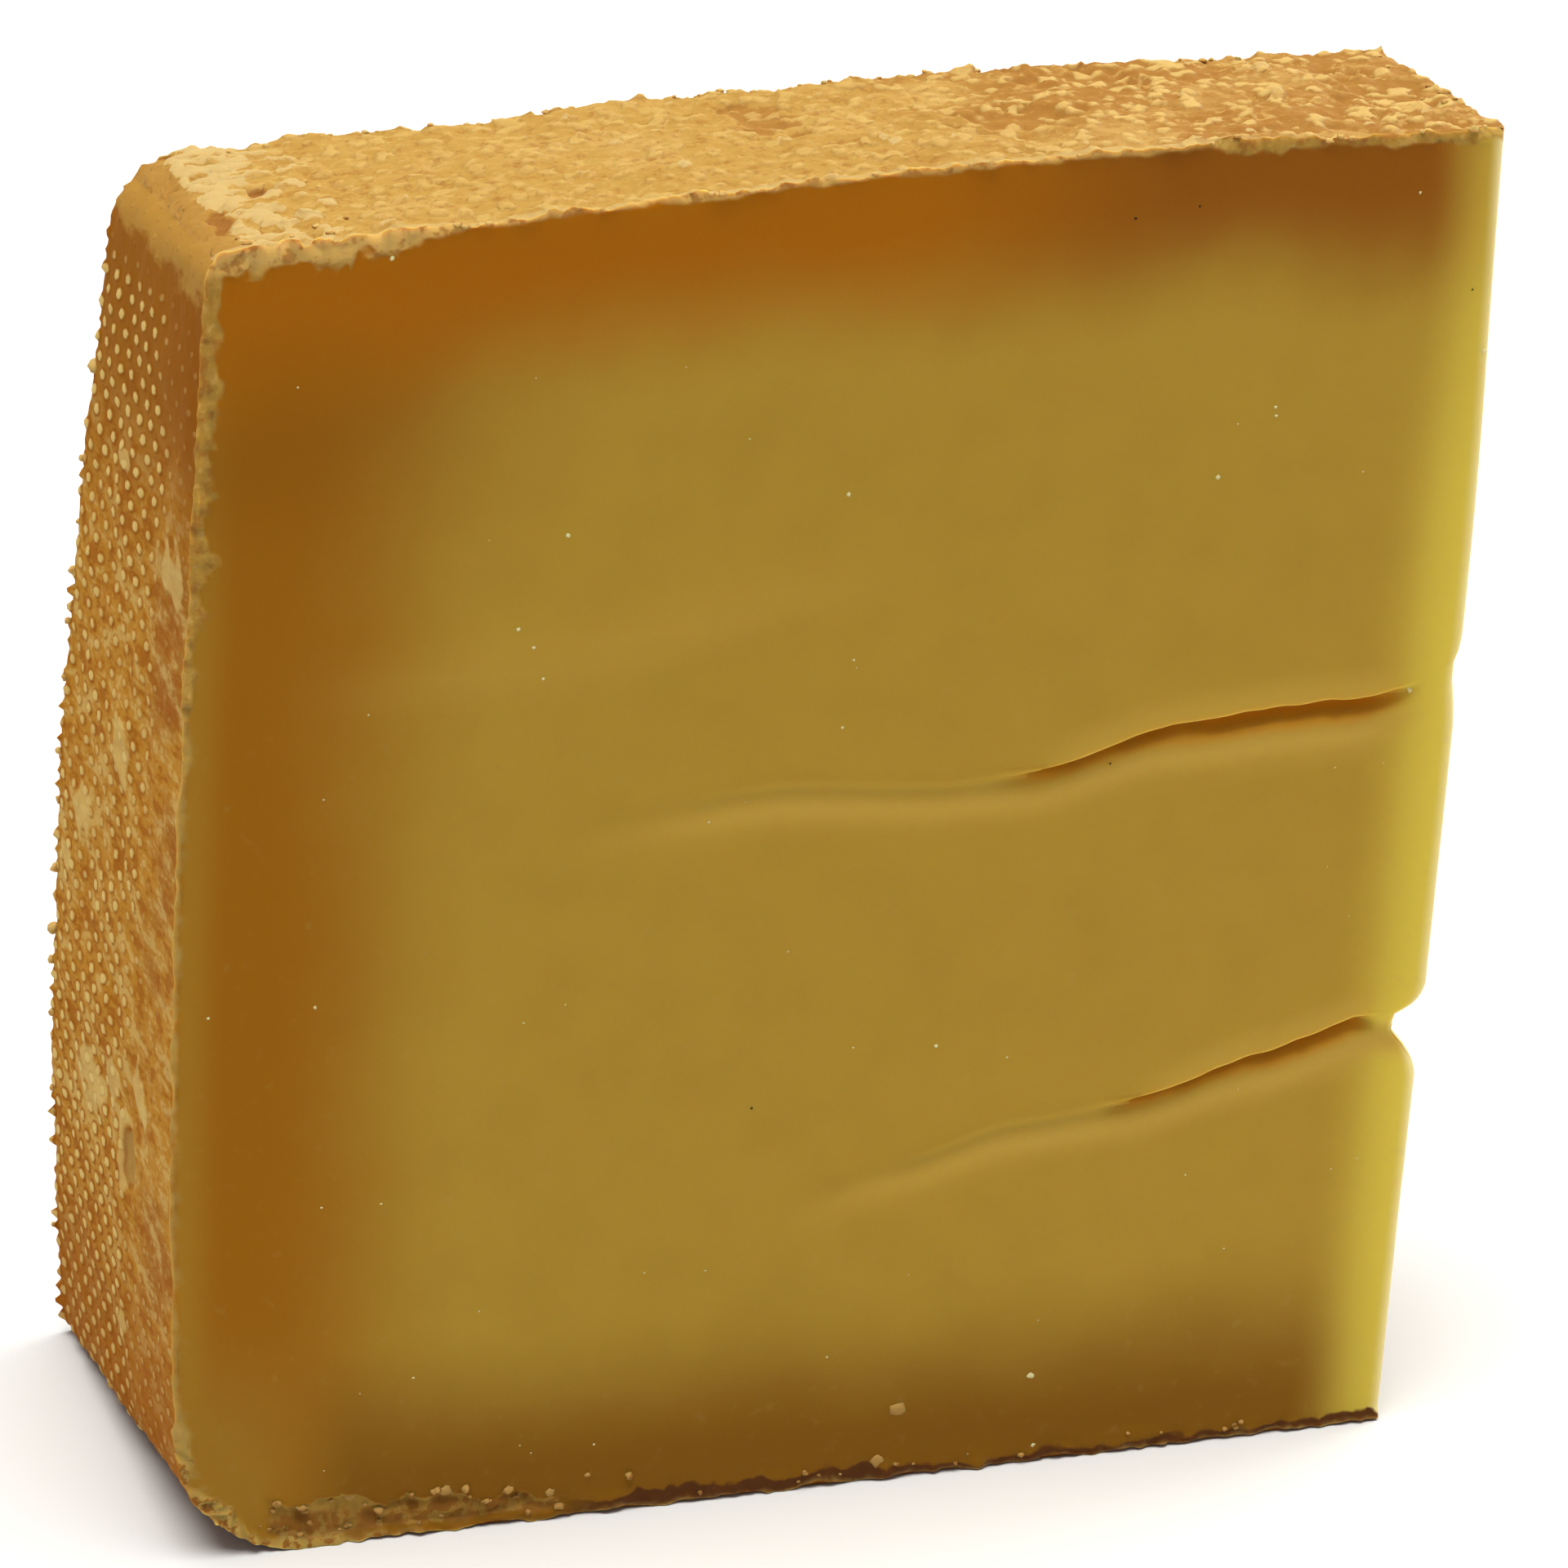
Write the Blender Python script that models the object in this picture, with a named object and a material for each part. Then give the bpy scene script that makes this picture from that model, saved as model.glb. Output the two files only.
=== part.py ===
"""A cut piece of mountain cheese, standing upright on its lower rind.

The piece is one solid. It comes from a wheel: the left side (-X) is the wheel's rim, the top and the
underside are the wheel's two flat rinds, and the front (-Y), the back and the right side are cut faces.
Two cracks open from the right cut face and fade into folds in the front cut face.

The block starts as a cube with rows of edges that are finer near the arrises and the cracks. Each point
of it is then placed by the sizes below: the eight corners, the bulge of the rim, the rounded arrises of
the wheel, the cracks and the relief of the rinds.
"""
import math

import bmesh
import bpy
from mathutils import Vector, noise

MM = 0.001

# Corners of the piece, in millimetres from its lower front corner at the rim
HEIGHT_AT_RIM = 105.0
HEIGHT_AT_CUT = 110.4
WIDTH_BELOW = 102.3
WIDTH_ABOVE = 101.8
RIM_LEAN = 2.0
BACK_SHIFT_AT_RIM = -0.6
BACK_SHIFT_AT_CUT = 1.2
DEPTH_AT_RIM_BELOW = 42.8
DEPTH_AT_RIM_ABOVE = 28.8
DEPTH_AT_CUT_BELOW = 39.0
DEPTH_AT_CUT_ABOVE = 26.7
REFERENCE_DEPTH = 36.0

# Bulges of the top, the rim and the right cut face, and the share of the way where each is fullest
TOP_CROWN = 1.2
TOP_FULLEST = 0.6
RIM_BULGE_FRONT = 1.4
RIM_BULGE_BACK = 2.4
CUT_BULGE = 0.85
RIM_FULLEST = 0.45
CUT_FULLEST = 0.64

# Rounded arrises between the rim and the two flat rinds, at the front and at the back
TOP_ARRIS_FRONT = 2.0
TOP_ARRIS_BACK = 5.2
FOOT_ARRIS_FRONT = 10.5
FOOT_ARRIS_BACK = 1.8

# Cracks of the front face: (distance from the rim, height) along each, from the fold to the right face
UPPER_CRACK = ((29.0, 59.1), (46.0, 60.9), (60.0, 59.9), (67.0, 60.1), (78.0, 63.4), (89.0, 64.4),
               (95.0, 64.5), (99.2, 65.1), (103.6, 66.8))
LOWER_CRACK = ((48.0, 25.8), (58.0, 28.2), (67.0, 30.6), (77.0, 31.3), (89.0, 34.9), (96.0, 37.0),
               (102.3, 36.3))

# Each span says where along the front face a crack or tear starts, is full, gets weaker and ends
UPPER_SLIT_SPAN = (62.0, 74.0, 93.0, 100.0)
LOWER_SLIT_SPAN = (73.0, 84.0, 95.0, 99.5)
UPPER_FOLD_SPAN = (27.0, 48.0, 94.0, 101.0)
LOWER_FOLD_SPAN = (46.0, 66.0, 100.0, 112.0)
SLIT_DEPTH = 2.6
SLIT_HALF_GAP = 0.5
FOLD_STEP = 0.8
FOLD_BULGE_SHARE = 0.45
FOLD_REACH = 3.0
LIP_ROWS = 1.5

# Notch of the lower crack in the right face, and the thin line that the upper one leaves there
NOTCH_DEPTH = 2.6
NOTCH_HALF_GAP = 0.75
NOTCH_REACH_UP = 2.6
NOTCH_REACH_DOWN = 5.0
NOTCH_REACH_IN = 8.0
NOTCH_SLOPE_POWER = 1.7
UPPER_LINE_DEPTH = 0.5
NOTCH_FADE_BACK = 0.6

# Torn strip above the lower rind, at the front near the rim
TORN_SPAN = (7.0, 11.0, 28.0, 33.0)
TORN_HEIGHT = 3.4
TORN_DEPTH = 0.8
TORN_RAGGEDNESS = 0.5

# Relief of the surfaces: amplitude and length of the waves
RIM_RELIEF = 0.18
TOP_RELIEF = 0.28
RIND_WAVE = 7.0
SMALL_LUMP_SHARE = 0.5
CUT_RELIEF = 0.14
CUT_WAVE = 26.0
RAGGED_RELIEF = 0.45
RAGGED_WAVE = 3.2
NOISE_GAIN = 1.6

# Shifts into the noise, one for each kind of wave
RIND_SHIFT = 3.1
SMALL_LUMP_SHIFT = 7.7
CUT_SHIFT = 11.0
RIGHT_CUT_SHIFT = 23.0
RAGGED_SHIFT = 17.0
TORN_SHIFT = 29.0

# How fast the bulges of the rim and of the right cut face fade across the piece
BULGE_POWER = 4

# Rows of edges: the steps at the arrises and cracks, and away from them
FINE_STEP = 0.9
CRACK_STEP = 0.6
COARSE_STEP = 3.5
STEP_GROWTH = 1.5
TINY = 1e-6
SHARP_ANGLE = math.radians(40.0)

PASTE_COLOUR = (0.35, 0.20, 0.03, 1.0)
PASTE_ROUGHNESS = 0.45


def mix(start, end, share):
    return start + (end - start) * share


def smooth_step(low, high, value):
    """0 below low, 1 above high, with a soft change between."""
    share = min(max((value - low) / (high - low), 0.0), 1.0)
    return share * share * (3.0 - 2.0 * share)


def span_strength(span, distance):
    """How open a crack or a tear is at a distance from the rim."""
    opens, full, closing, closed = span
    return smooth_step(opens, full, distance) * (1.0 - smooth_step(closing, closed, distance))


def height_along(points, distance):
    """Height of a crack at a distance from the rim, with soft bends at its points."""
    if distance <= points[0][0]:
        return points[0][1]
    for (start, low), (end, high) in zip(points, points[1:]):
        if distance <= end:
            straight = (distance - start) / (end - start)
            return mix(low, high, 0.5 * smooth_step(start, end, distance) + 0.5 * straight)
    return points[-1][1]


def graded_steps(length, first, last):
    """Steps that add up to a length: they grow from both ends to the coarse step."""
    steps_from_start = [first]
    steps_from_end = [last]
    while sum(steps_from_start) + sum(steps_from_end) + COARSE_STEP < length:
        smaller = steps_from_start if steps_from_start[-1] <= steps_from_end[-1] else steps_from_end
        smaller.append(min(smaller[-1] * STEP_GROWTH, COARSE_STEP))
    steps = steps_from_start + steps_from_end[::-1]
    scale = length / sum(steps)
    return [step * scale for step in steps]


def rows_between(stops):
    """Rows of edges as shares of the whole, from (position, step at that position) pairs."""
    rows = [stops[0][0]]
    for (start, first), (end, last) in zip(stops, stops[1:]):
        for step in graded_steps(end - start, first, last):
            rows.append(rows[-1] + step)
    return [(row - rows[0]) / (rows[-1] - rows[0]) for row in rows]


def crown_of(share, fullest):
    """A bulge from 0 to 1 and back to 0, fullest at the given share."""
    return math.sin(math.pi * share ** (math.log(0.5) / math.log(fullest)))


def top_height(across):
    """Height of the top rind at a share of the way from the rim to the right cut face."""
    return mix(HEIGHT_AT_RIM, HEIGHT_AT_CUT, across) + TOP_CROWN * crown_of(across, TOP_FULLEST)


def plain_point(across, inward, up):
    """A point of the plain block from its three shares: rim to cut face, front to back, foot to top."""
    left = mix(0.0, RIM_LEAN, up) + BACK_SHIFT_AT_RIM * inward
    right = mix(WIDTH_BELOW, RIM_LEAN + WIDTH_ABOVE, up) + BACK_SHIFT_AT_CUT * inward
    depth_at_rim = mix(DEPTH_AT_RIM_BELOW, DEPTH_AT_RIM_ABOVE, up)
    depth_at_cut = mix(DEPTH_AT_CUT_BELOW, DEPTH_AT_CUT_ABOVE, up)
    depth = mix(depth_at_rim, depth_at_cut, across)
    return Vector((mix(left, right, across), depth * inward, top_height(across) * up))


def round_arris(point, wall, floor, radius, rises):
    """Moves a point near the arris of a wall and a floor onto its rounding."""
    from_wall = point.x - wall
    from_floor = point.z - floor if rises else floor - point.z
    if from_wall >= radius or from_floor >= radius:
        return
    short_wall = radius - from_wall
    short_floor = radius - from_floor
    scale = max(short_wall, short_floor) / math.hypot(short_wall, short_floor)
    point.x = wall + radius - short_wall * scale
    new_floor = radius - short_floor * scale
    point.z = floor + new_floor if rises else floor - new_floor


def wave(point, length, shift):
    """A soft random height between about -1 and 1."""
    return noise.noise(Vector((point.x / length + shift, point.y / length, point.z / length))) * NOISE_GAIN


def crack_push(offset, slit, fold):
    """How far a point at a height offset from a crack goes inward: the slit, and the fold below it."""
    push = 0.0
    if offset < 0.0:
        push += FOLD_STEP * fold * math.exp(offset / FOLD_REACH)
    else:
        push -= FOLD_BULGE_SHARE * FOLD_STEP * fold * math.exp(-offset / FOLD_REACH)
    if abs(offset) < 0.5 * SLIT_HALF_GAP:
        push += SLIT_DEPTH * slit
    return push


def notch_share(offset):
    """Share of a notch's depth at a height offset from its crack: a rounded lip above, a slope below."""
    if offset > NOTCH_HALF_GAP:
        gone = min((offset - NOTCH_HALF_GAP) / NOTCH_REACH_UP, 1.0)
        return 1.0 - math.sqrt(1.0 - (1.0 - gone) ** 2)
    gone = min(max((-NOTCH_HALF_GAP - offset) / NOTCH_REACH_DOWN, 0.0), 1.0)
    return (1.0 - gone) ** NOTCH_SLOPE_POWER


def warp_height(up, crack_rows, heights, top):
    """Height of a row, bent so that the rows of the cracks follow them."""
    stops = [(0.0, 0.0)] + list(zip(crack_rows, heights)) + [(1.0, top)]
    for (row_low, low), (row_high, high) in zip(stops, stops[1:]):
        if up <= row_high:
            return mix(low, high, (up - row_low) / (row_high - row_low))
    return top


def shape_point(share, crack_rows):
    """The finished place of one lattice point, from its three shares of the block."""
    across, inward, up = share
    distance = across * WIDTH_BELOW
    top = top_height(across)
    crack_heights = [height_along(LOWER_CRACK, distance), height_along(UPPER_CRACK, distance)]
    height = warp_height(up, crack_rows, crack_heights, top)
    share_up = height / top
    point = plain_point(across, inward, share_up)

    on_front = inward < TINY
    on_cut = across > 1.0 - TINY
    on_rim = across < TINY
    on_top = up > 1.0 - TINY
    on_foot = up < TINY
    on_back = inward > 1.0 - TINY

    # the cracks, in the front and in the right face
    from_cut = (1.0 - across) * WIDTH_BELOW
    cracks = ((LOWER_SLIT_SPAN, LOWER_FOLD_SPAN, NOTCH_DEPTH),
              (UPPER_SLIT_SPAN, UPPER_FOLD_SPAN, UPPER_LINE_DEPTH))
    for crack, crack_row, crack_height in zip(cracks, crack_rows, crack_heights):
        slit_span, fold_span, cut_depth = crack
        offset = height - crack_height
        if on_front:
            slit = span_strength(slit_span, distance)
            fold = span_strength(fold_span, distance)
            on_lip = abs(up - crack_row) * top < LIP_ROWS * CRACK_STEP and abs(offset) > TINY
            if on_lip:
                point.z += math.copysign(SLIT_HALF_GAP * slit, offset)
            point.y += crack_push(offset, slit, fold)
        if (on_front or on_cut or on_back) and from_cut < NOTCH_REACH_IN:
            drawn_in = (1.0 - from_cut / NOTCH_REACH_IN) ** 2 * (1.0 - NOTCH_FADE_BACK * inward)
            point.x -= cut_depth * drawn_in * notch_share(offset)

    # the bulges
    rim_bulge = mix(RIM_BULGE_FRONT, RIM_BULGE_BACK, inward) * crown_of(share_up, RIM_FULLEST)
    point.x -= rim_bulge * (1.0 - across) ** BULGE_POWER
    point.x += CUT_BULGE * crown_of(share_up, CUT_FULLEST) * across ** BULGE_POWER

    # the relief
    if on_rim or on_top:
        lumps = (wave(point, RIND_WAVE, RIND_SHIFT)
                 + SMALL_LUMP_SHARE * wave(point, RAGGED_WAVE, SMALL_LUMP_SHIFT))
        if on_rim:
            point.x -= RIM_RELIEF * lumps
        if on_top:
            point.z += TOP_RELIEF * lumps
    if (on_front or on_back) and not (on_rim or on_top or on_foot):
        point.y += CUT_RELIEF * wave(point, CUT_WAVE, CUT_SHIFT)
    if (on_front or on_back) and (on_rim or on_top):
        point.y += RAGGED_RELIEF * wave(point, RAGGED_WAVE, RAGGED_SHIFT)
    if on_cut:
        point.x += CUT_RELIEF * wave(point, CUT_WAVE, RIGHT_CUT_SHIFT)

    # the torn strip above the lower rind
    if on_front and height < TORN_HEIGHT:
        hollow = math.sin(math.pi * height / TORN_HEIGHT)
        ragged = 1.0 + TORN_RAGGEDNESS * wave(point, RAGGED_WAVE, TORN_SHIFT)
        point.y += TORN_DEPTH * hollow * ragged * span_strength(TORN_SPAN, distance)

    # the rounded arrises of the wheel
    rim = mix(0.0, RIM_LEAN, share_up) + BACK_SHIFT_AT_RIM * inward
    round_arris(point, rim, 0.0, mix(FOOT_ARRIS_FRONT, FOOT_ARRIS_BACK, inward), True)
    round_arris(point, rim, top, mix(TOP_ARRIS_FRONT, TOP_ARRIS_BACK, inward), False)
    point.z = max(point.z, 0.0)
    return point


def lattice_block(across_rows, inward_rows, up_rows):
    """A closed unit block whose edges form the given rows."""
    block = bmesh.new()
    bmesh.ops.create_cube(block, size=1.0)
    bmesh.ops.translate(block, verts=block.verts, vec=(0.5, 0.5, 0.5))
    for axis, rows in enumerate((across_rows, inward_rows, up_rows)):
        edges = [edge for edge in block.edges
                 if abs(edge.verts[0].co[axis] - edge.verts[1].co[axis]) > 0.5]
        bmesh.ops.subdivide_edges(block, edges=edges, cuts=len(rows) - 2, use_grid_fill=True)
        for vertex in block.verts:
            vertex.co[axis] = rows[round(vertex.co[axis] * (len(rows) - 1))]
    return block


def make_paste_material():
    material = bpy.data.materials.new("cheese_paste")
    material.use_nodes = True
    shader = material.node_tree.nodes["Principled BSDF"]
    shader.inputs["Base Color"].default_value = PASTE_COLOUR
    shader.inputs["Roughness"].default_value = PASTE_ROUGHNESS
    shader.inputs["Metallic"].default_value = 0.0
    return material


def make_cheese():
    lower_row_height = LOWER_CRACK[2][1]
    upper_row_height = UPPER_CRACK[2][1]
    across_rows = rows_between(((0.0, FINE_STEP), (WIDTH_BELOW, FINE_STEP)))
    inward_rows = rows_between(((0.0, FINE_STEP), (REFERENCE_DEPTH, FINE_STEP)))
    up_rows = rows_between(((0.0, FINE_STEP), (lower_row_height, CRACK_STEP),
                            (upper_row_height, CRACK_STEP), (HEIGHT_AT_RIM, FINE_STEP)))
    crack_rows = [min(up_rows, key=lambda row: abs(row - target / HEIGHT_AT_RIM))
                  for target in (lower_row_height, upper_row_height)]

    block = lattice_block(across_rows, inward_rows, up_rows)
    for vertex in block.verts:
        vertex.co = shape_point(vertex.co.copy(), crack_rows)

    # the origin goes to the middle of the box, at its lowest height
    lows = [min(vertex.co[axis] for vertex in block.verts) for axis in range(3)]
    highs = [max(vertex.co[axis] for vertex in block.verts) for axis in range(3)]
    middle = Vector(((lows[0] + highs[0]) / 2, (lows[1] + highs[1]) / 2, lows[2]))
    bmesh.ops.translate(block, verts=block.verts, vec=-middle)
    bmesh.ops.scale(block, verts=block.verts, vec=(MM, MM, MM))
    bmesh.ops.triangulate(block, faces=block.faces)
    bmesh.ops.recalc_face_normals(block, faces=block.faces)

    mesh = bpy.data.meshes.new("mountain_cheese")
    block.to_mesh(mesh)
    block.free()
    mesh.materials.append(make_paste_material())
    cheese = bpy.data.objects.new("mountain_cheese", mesh)
    bpy.context.scene.collection.objects.link(cheese)
    mesh.shade_smooth()
    mesh.set_sharp_from_angle(angle=SHARP_ANGLE)
    return cheese


for old in list(bpy.data.objects):
    bpy.data.objects.remove(old)
make_cheese()
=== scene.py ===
"""Looks of an upright cut piece of mountain cheese: cloth-marked rim, flaky rind, cut paste, cracks, crumbs.

The file is laid out as a Blender add-on and is run as a script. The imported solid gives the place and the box
of the piece. The fine block made here stands for that solid: it has the same corners, bulges and cracks.
"""
import math
import random
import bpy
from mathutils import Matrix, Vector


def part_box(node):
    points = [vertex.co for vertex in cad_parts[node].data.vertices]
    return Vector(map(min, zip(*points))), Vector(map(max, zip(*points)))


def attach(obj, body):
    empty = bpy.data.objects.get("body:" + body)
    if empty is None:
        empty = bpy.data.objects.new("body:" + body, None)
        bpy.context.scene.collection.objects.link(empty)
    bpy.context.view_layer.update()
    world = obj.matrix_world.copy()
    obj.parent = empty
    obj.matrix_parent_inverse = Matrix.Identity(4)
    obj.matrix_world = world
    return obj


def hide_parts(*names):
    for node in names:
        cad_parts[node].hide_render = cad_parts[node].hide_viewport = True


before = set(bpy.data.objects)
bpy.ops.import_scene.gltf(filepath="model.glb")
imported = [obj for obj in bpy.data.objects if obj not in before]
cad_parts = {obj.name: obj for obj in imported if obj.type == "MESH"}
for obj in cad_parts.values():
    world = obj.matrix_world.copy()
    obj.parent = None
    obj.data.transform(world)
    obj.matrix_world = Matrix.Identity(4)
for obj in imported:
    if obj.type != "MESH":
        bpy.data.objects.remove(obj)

from types import SimpleNamespace

import bmesh
import bpy
from bpy.props import FloatProperty, FloatVectorProperty, IntProperty, PointerProperty
from mathutils import Matrix, Vector, noise

bl_info = {
    "name": "Mountain cheese",
    "version": (1, 0, 0),
    "blender": (4, 5, 0),
    "location": "3D View > Sidebar > Cheese",
    "description": "Builds a cut piece of mountain cheese with its rind, cracks and crumbs",
    "category": "Add Mesh",
}

MM = 0.001
NODE = "mountain_cheese"
BODY = "root"
CAD_LOW, CAD_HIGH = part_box(NODE)
CAD_MIDDLE = (CAD_LOW + CAD_HIGH) / 2.0
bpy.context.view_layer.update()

# Bends of the cracks and of a faint fold in the front face: (distance from the rim, height) in millimetres
UPPER_CRACK = ((29.0, 59.1), (46.0, 60.9), (60.0, 59.9), (67.0, 60.1), (78.0, 63.4), (89.0, 64.4),
               (95.0, 64.5), (99.2, 65.1), (103.6, 66.8))
LOWER_CRACK = ((48.0, 25.8), (58.0, 28.2), (67.0, 30.6), (77.0, 31.3), (89.0, 34.9), (96.0, 37.0),
               (102.3, 36.3))
FAINT_FOLD = ((4.0, 70.0), (9.0, 70.5), (29.0, 72.3), (48.0, 76.5), (60.0, 78.0))
CRACK_REACH = 20.0

# Each span says where along the front face a form starts, is full, gets weaker and ends
UPPER_SLIT_SPAN = (62.0, 74.0, 93.0, 100.0)
LOWER_SLIT_SPAN = (73.0, 84.0, 95.0, 99.5)
UPPER_FOLD_SPAN = (27.0, 48.0, 94.0, 101.0)
LOWER_FOLD_SPAN = (46.0, 66.0, 100.0, 112.0)
FAINT_FOLD_SPAN = (6.0, 22.0, 40.0, 56.0)
TORN_SPAN = (5.5, 9.0, 28.0, 33.0)
# Width of the torn back edge of the rinds, and how close to a side a point counts as on it
TORN_BACK = 0.8
TINY = 1e-5
# The mesh: an edge may be so much longer than wanted, rounds of halving, and width of the fine faces
EDGE_SLACK = 1.45
ROUNDS = 3
FINE_WIDTH = 1.2
SHARP_ANGLE = math.radians(70.0)
# How strongly paste and rind bend light
CHEESE_IOR = 1.45

# Pale smears on the rim: (depth, height, half depth, half height), in millimetres
RIM_SMEARS = ((4.0, 79.5, 2.4, 2.4), (16.5, 61.5, 2.2, 2.8), (25.0, 30.5, 4.6, 2.4), (17.5, 33.5, 2.2, 1.6),
              (28.6, 52.5, 2.2, 2.4), (17.0, 13.0, 1.2, 1.8), (9.0, 36.0, 2.2, 2.2), (33.0, 47.0, 2.0, 1.2),
              (20.0, 84.0, 1.8, 0.8), (14.9, 28.8, 1.2, 3.6))
# The scar of the rim, from its upper to its lower end
RIM_SCAR = ((13.2, 32.0), (13.8, 25.6))
# Brown stains on the top rind: (distance from the rim, depth, half width, half depth)
TOP_STAINS = ((9.5, 14.6, 1.2, 1.2), (5.0, 8.0, 1.1, 3.0), (50.0, 20.0, 2.6, 5.0), (68.0, 12.0, 4.5, 3.5),
              (88.0, 3.0, 6.0, 1.1), (99.0, 12.0, 3.5, 8.0), (77.0, 22.0, 4.0, 4.0), (3.8, 20.0, 0.8, 0.7))

# Crumbs on the rim's back edge: (height, half size), in millimetres
BACK_CRUMBS = ((88.0, 0.62), (80.5, 0.3), (75.0, 0.25), (71.0, 0.35), (66.5, 0.3), (61.5, 0.35), (55.0, 0.3),
               (50.5, 0.35), (44.5, 0.4), (39.0, 0.5), (36.0, 0.35), (31.0, 0.35), (24.0, 0.35), (10.5, 0.25))
# Random crumbs, in millimetres: where they lie along the front, how high, and their half sizes
TOP_CRUMBS_ALONG, TOP_CRUMB_SIZES = (14.0, 100.0), (0.15, 0.35)
RIGHT_CRUMBS_ALONG, CORNER_CRUMB_SIZES = (99.0, 102.0), (0.2, 0.4)
TORN_CRUMB_HEIGHTS, TORN_CRUMB_SIZES = (0.6, 3.8), (0.12, 0.42)
FOOT_CRUMBS_ALONG, FOOT_CRUMB_HEIGHTS, FOOT_CRUMB_SIZES = (34.0, 100.0), (0.4, 1.5), (0.12, 0.3)
TINY_SPECKS_ALONG, TINY_SPECK_HEIGHTS, TINY_SPECK_SIZES = (6.0, 98.0), (5.0, 98.0), (0.05, 0.1)
# The stage, in metres, and the width of the camera's sensor in millimetres
FLOOR_RADIUS = 6.0
OVERHEAD_PLACE = Vector((-0.06, -0.08, 0.6))
SIDE_PLACE = Vector((0.45, 0.22, 0.22))
SENSOR_WIDTH = 36.0
# Specks of the front face: (distance from the lower corner, height, half size), in millimetres
PALE_SPECKS = ((29.7, 82.2, 0.18), (51.5, 84.1, 0.2), (81.4, 83.7, 0.2), (85.8, 89.1, 0.15),
               (85.9, 88.4, 0.14), (102.9, 92.7, 0.2), (96.8, 105.6, 0.12), (70.5, 8.0, 0.3),
               (71.1, 1.3, 0.2), (60.8, 38.0, 0.14), (3.5, 45.8, 0.15), (11.4, 45.9, 0.14),
               (15.7, 104.1, 0.16), (11.9, 29.2, 0.1), (19.0, 13.8, 0.1), (26.1, 75.1, 0.16),
               (27.3, 73.6, 0.14), (28.1, 71.1, 0.12), (99.1, 64.9, 0.3))
PASTE_FLAKES = ((59.1, 6.3, 0.7), (14.0, 3.9, 0.5), (21.5, 3.6, 0.5), (30.0, 2.4, 0.4), (57.6, 1.6, 0.55))
DARK_SPECKS = ((74.2, 60.5, 0.09), (45.8, 34.1, 0.1), (101.6, 97.7, 0.08), (73.4, 104.6, 0.12),
               (78.6, 105.3, 0.12))


def linear(hex_colour):
    """Linear red, green and blue of an sRGB hex colour."""
    shares = [int(hex_colour[start:start + 2], 16) / 255.0 for start in (0, 2, 4)]
    return tuple(share / 12.92 if share <= 0.04045 else ((share + 0.055) / 1.055) ** 2.4 for share in shares)


def length(description, millimetres):
    """A size that a user may change, kept in metres."""
    return FloatProperty(description=description, default=millimetres * MM, unit="LENGTH", precision=5)


def share(description, default):
    """A share or factor between 0 and 1 or a little more."""
    return FloatProperty(description=description, default=default, subtype="FACTOR", min=0.0, soft_max=1.0)


def angle(description, degrees):
    """An angle that a user may change, kept in radians."""
    return FloatProperty(description=description, default=math.radians(degrees), subtype="ANGLE")


def colour(description, hex_colour):
    """A colour that a user may change."""
    return FloatVectorProperty(description=description, default=linear(hex_colour), subtype="COLOR", min=0.0,
                               max=1.0)


class CheeseBlockSizes(bpy.types.PropertyGroup):
    """Sizes of the whole piece, measured from its lower front corner at the rim."""

    corner: FloatVectorProperty(
        description="Lower front corner at the rim, from the origin",
        default=(CAD_LOW.x + 2.217 * MM, CAD_LOW.y + 0.435 * MM, CAD_LOW.z), unit="LENGTH", precision=5)
    height_at_rim: length("Height of the wheel at its rim", 105.0)
    height_at_cut: length("Height at the right cut face", 110.4)
    width_below: length("Width along the lower rind", 102.3)
    width_above: length("Width along the top rind", 101.8)
    rim_lean: length("How far the rim's top corner stands to the right", 2.0)
    back_shift_at_rim: length("Shift of the back corners at the rim", -0.6)
    back_shift_at_cut: length("Shift of the back corners at the cut face", 1.2)
    depth_at_rim_below: length("Depth of the foot at the rim", 42.8)
    depth_at_rim_above: length("Depth of the top at the rim", 28.8)
    depth_at_cut_below: length("Depth of the foot at the cut face", 39.0)
    depth_at_cut_above: length("Depth of the top at the cut face", 26.7)
    top_crown: length("Bulge of the top rind", 1.2)
    rim_bulge_front: length("Bulge of the rim at the front", 1.4)
    rim_bulge_back: length("Bulge of the rim at the back", 2.4)
    cut_bulge: length("Bulge of the right cut face", 0.85)
    top_fullest: share("Where along the width the crown is fullest", 0.6)
    rim_fullest: share("How far up the rim's bulge is fullest", 0.45)
    cut_fullest: share("How far up the cut face's bulge is fullest", 0.64)
    top_arris_front: length("Radius between rim and top at the front", 2.0)
    top_arris_back: length("Radius between rim and top at the back", 5.2)
    foot_arris_front: length("Radius between rim and foot at the front", 10.5)
    foot_arris_back: length("Radius between rim and foot at the back", 1.8)
    cut_arris: length("Radius between the front and the right cut face", 0.9)
    coarse_step: length("Size of the faces on the plain cut faces", 1.5)
    fine_step: length("Size of the faces on rinds, edges and cracks", 0.4)


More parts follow.
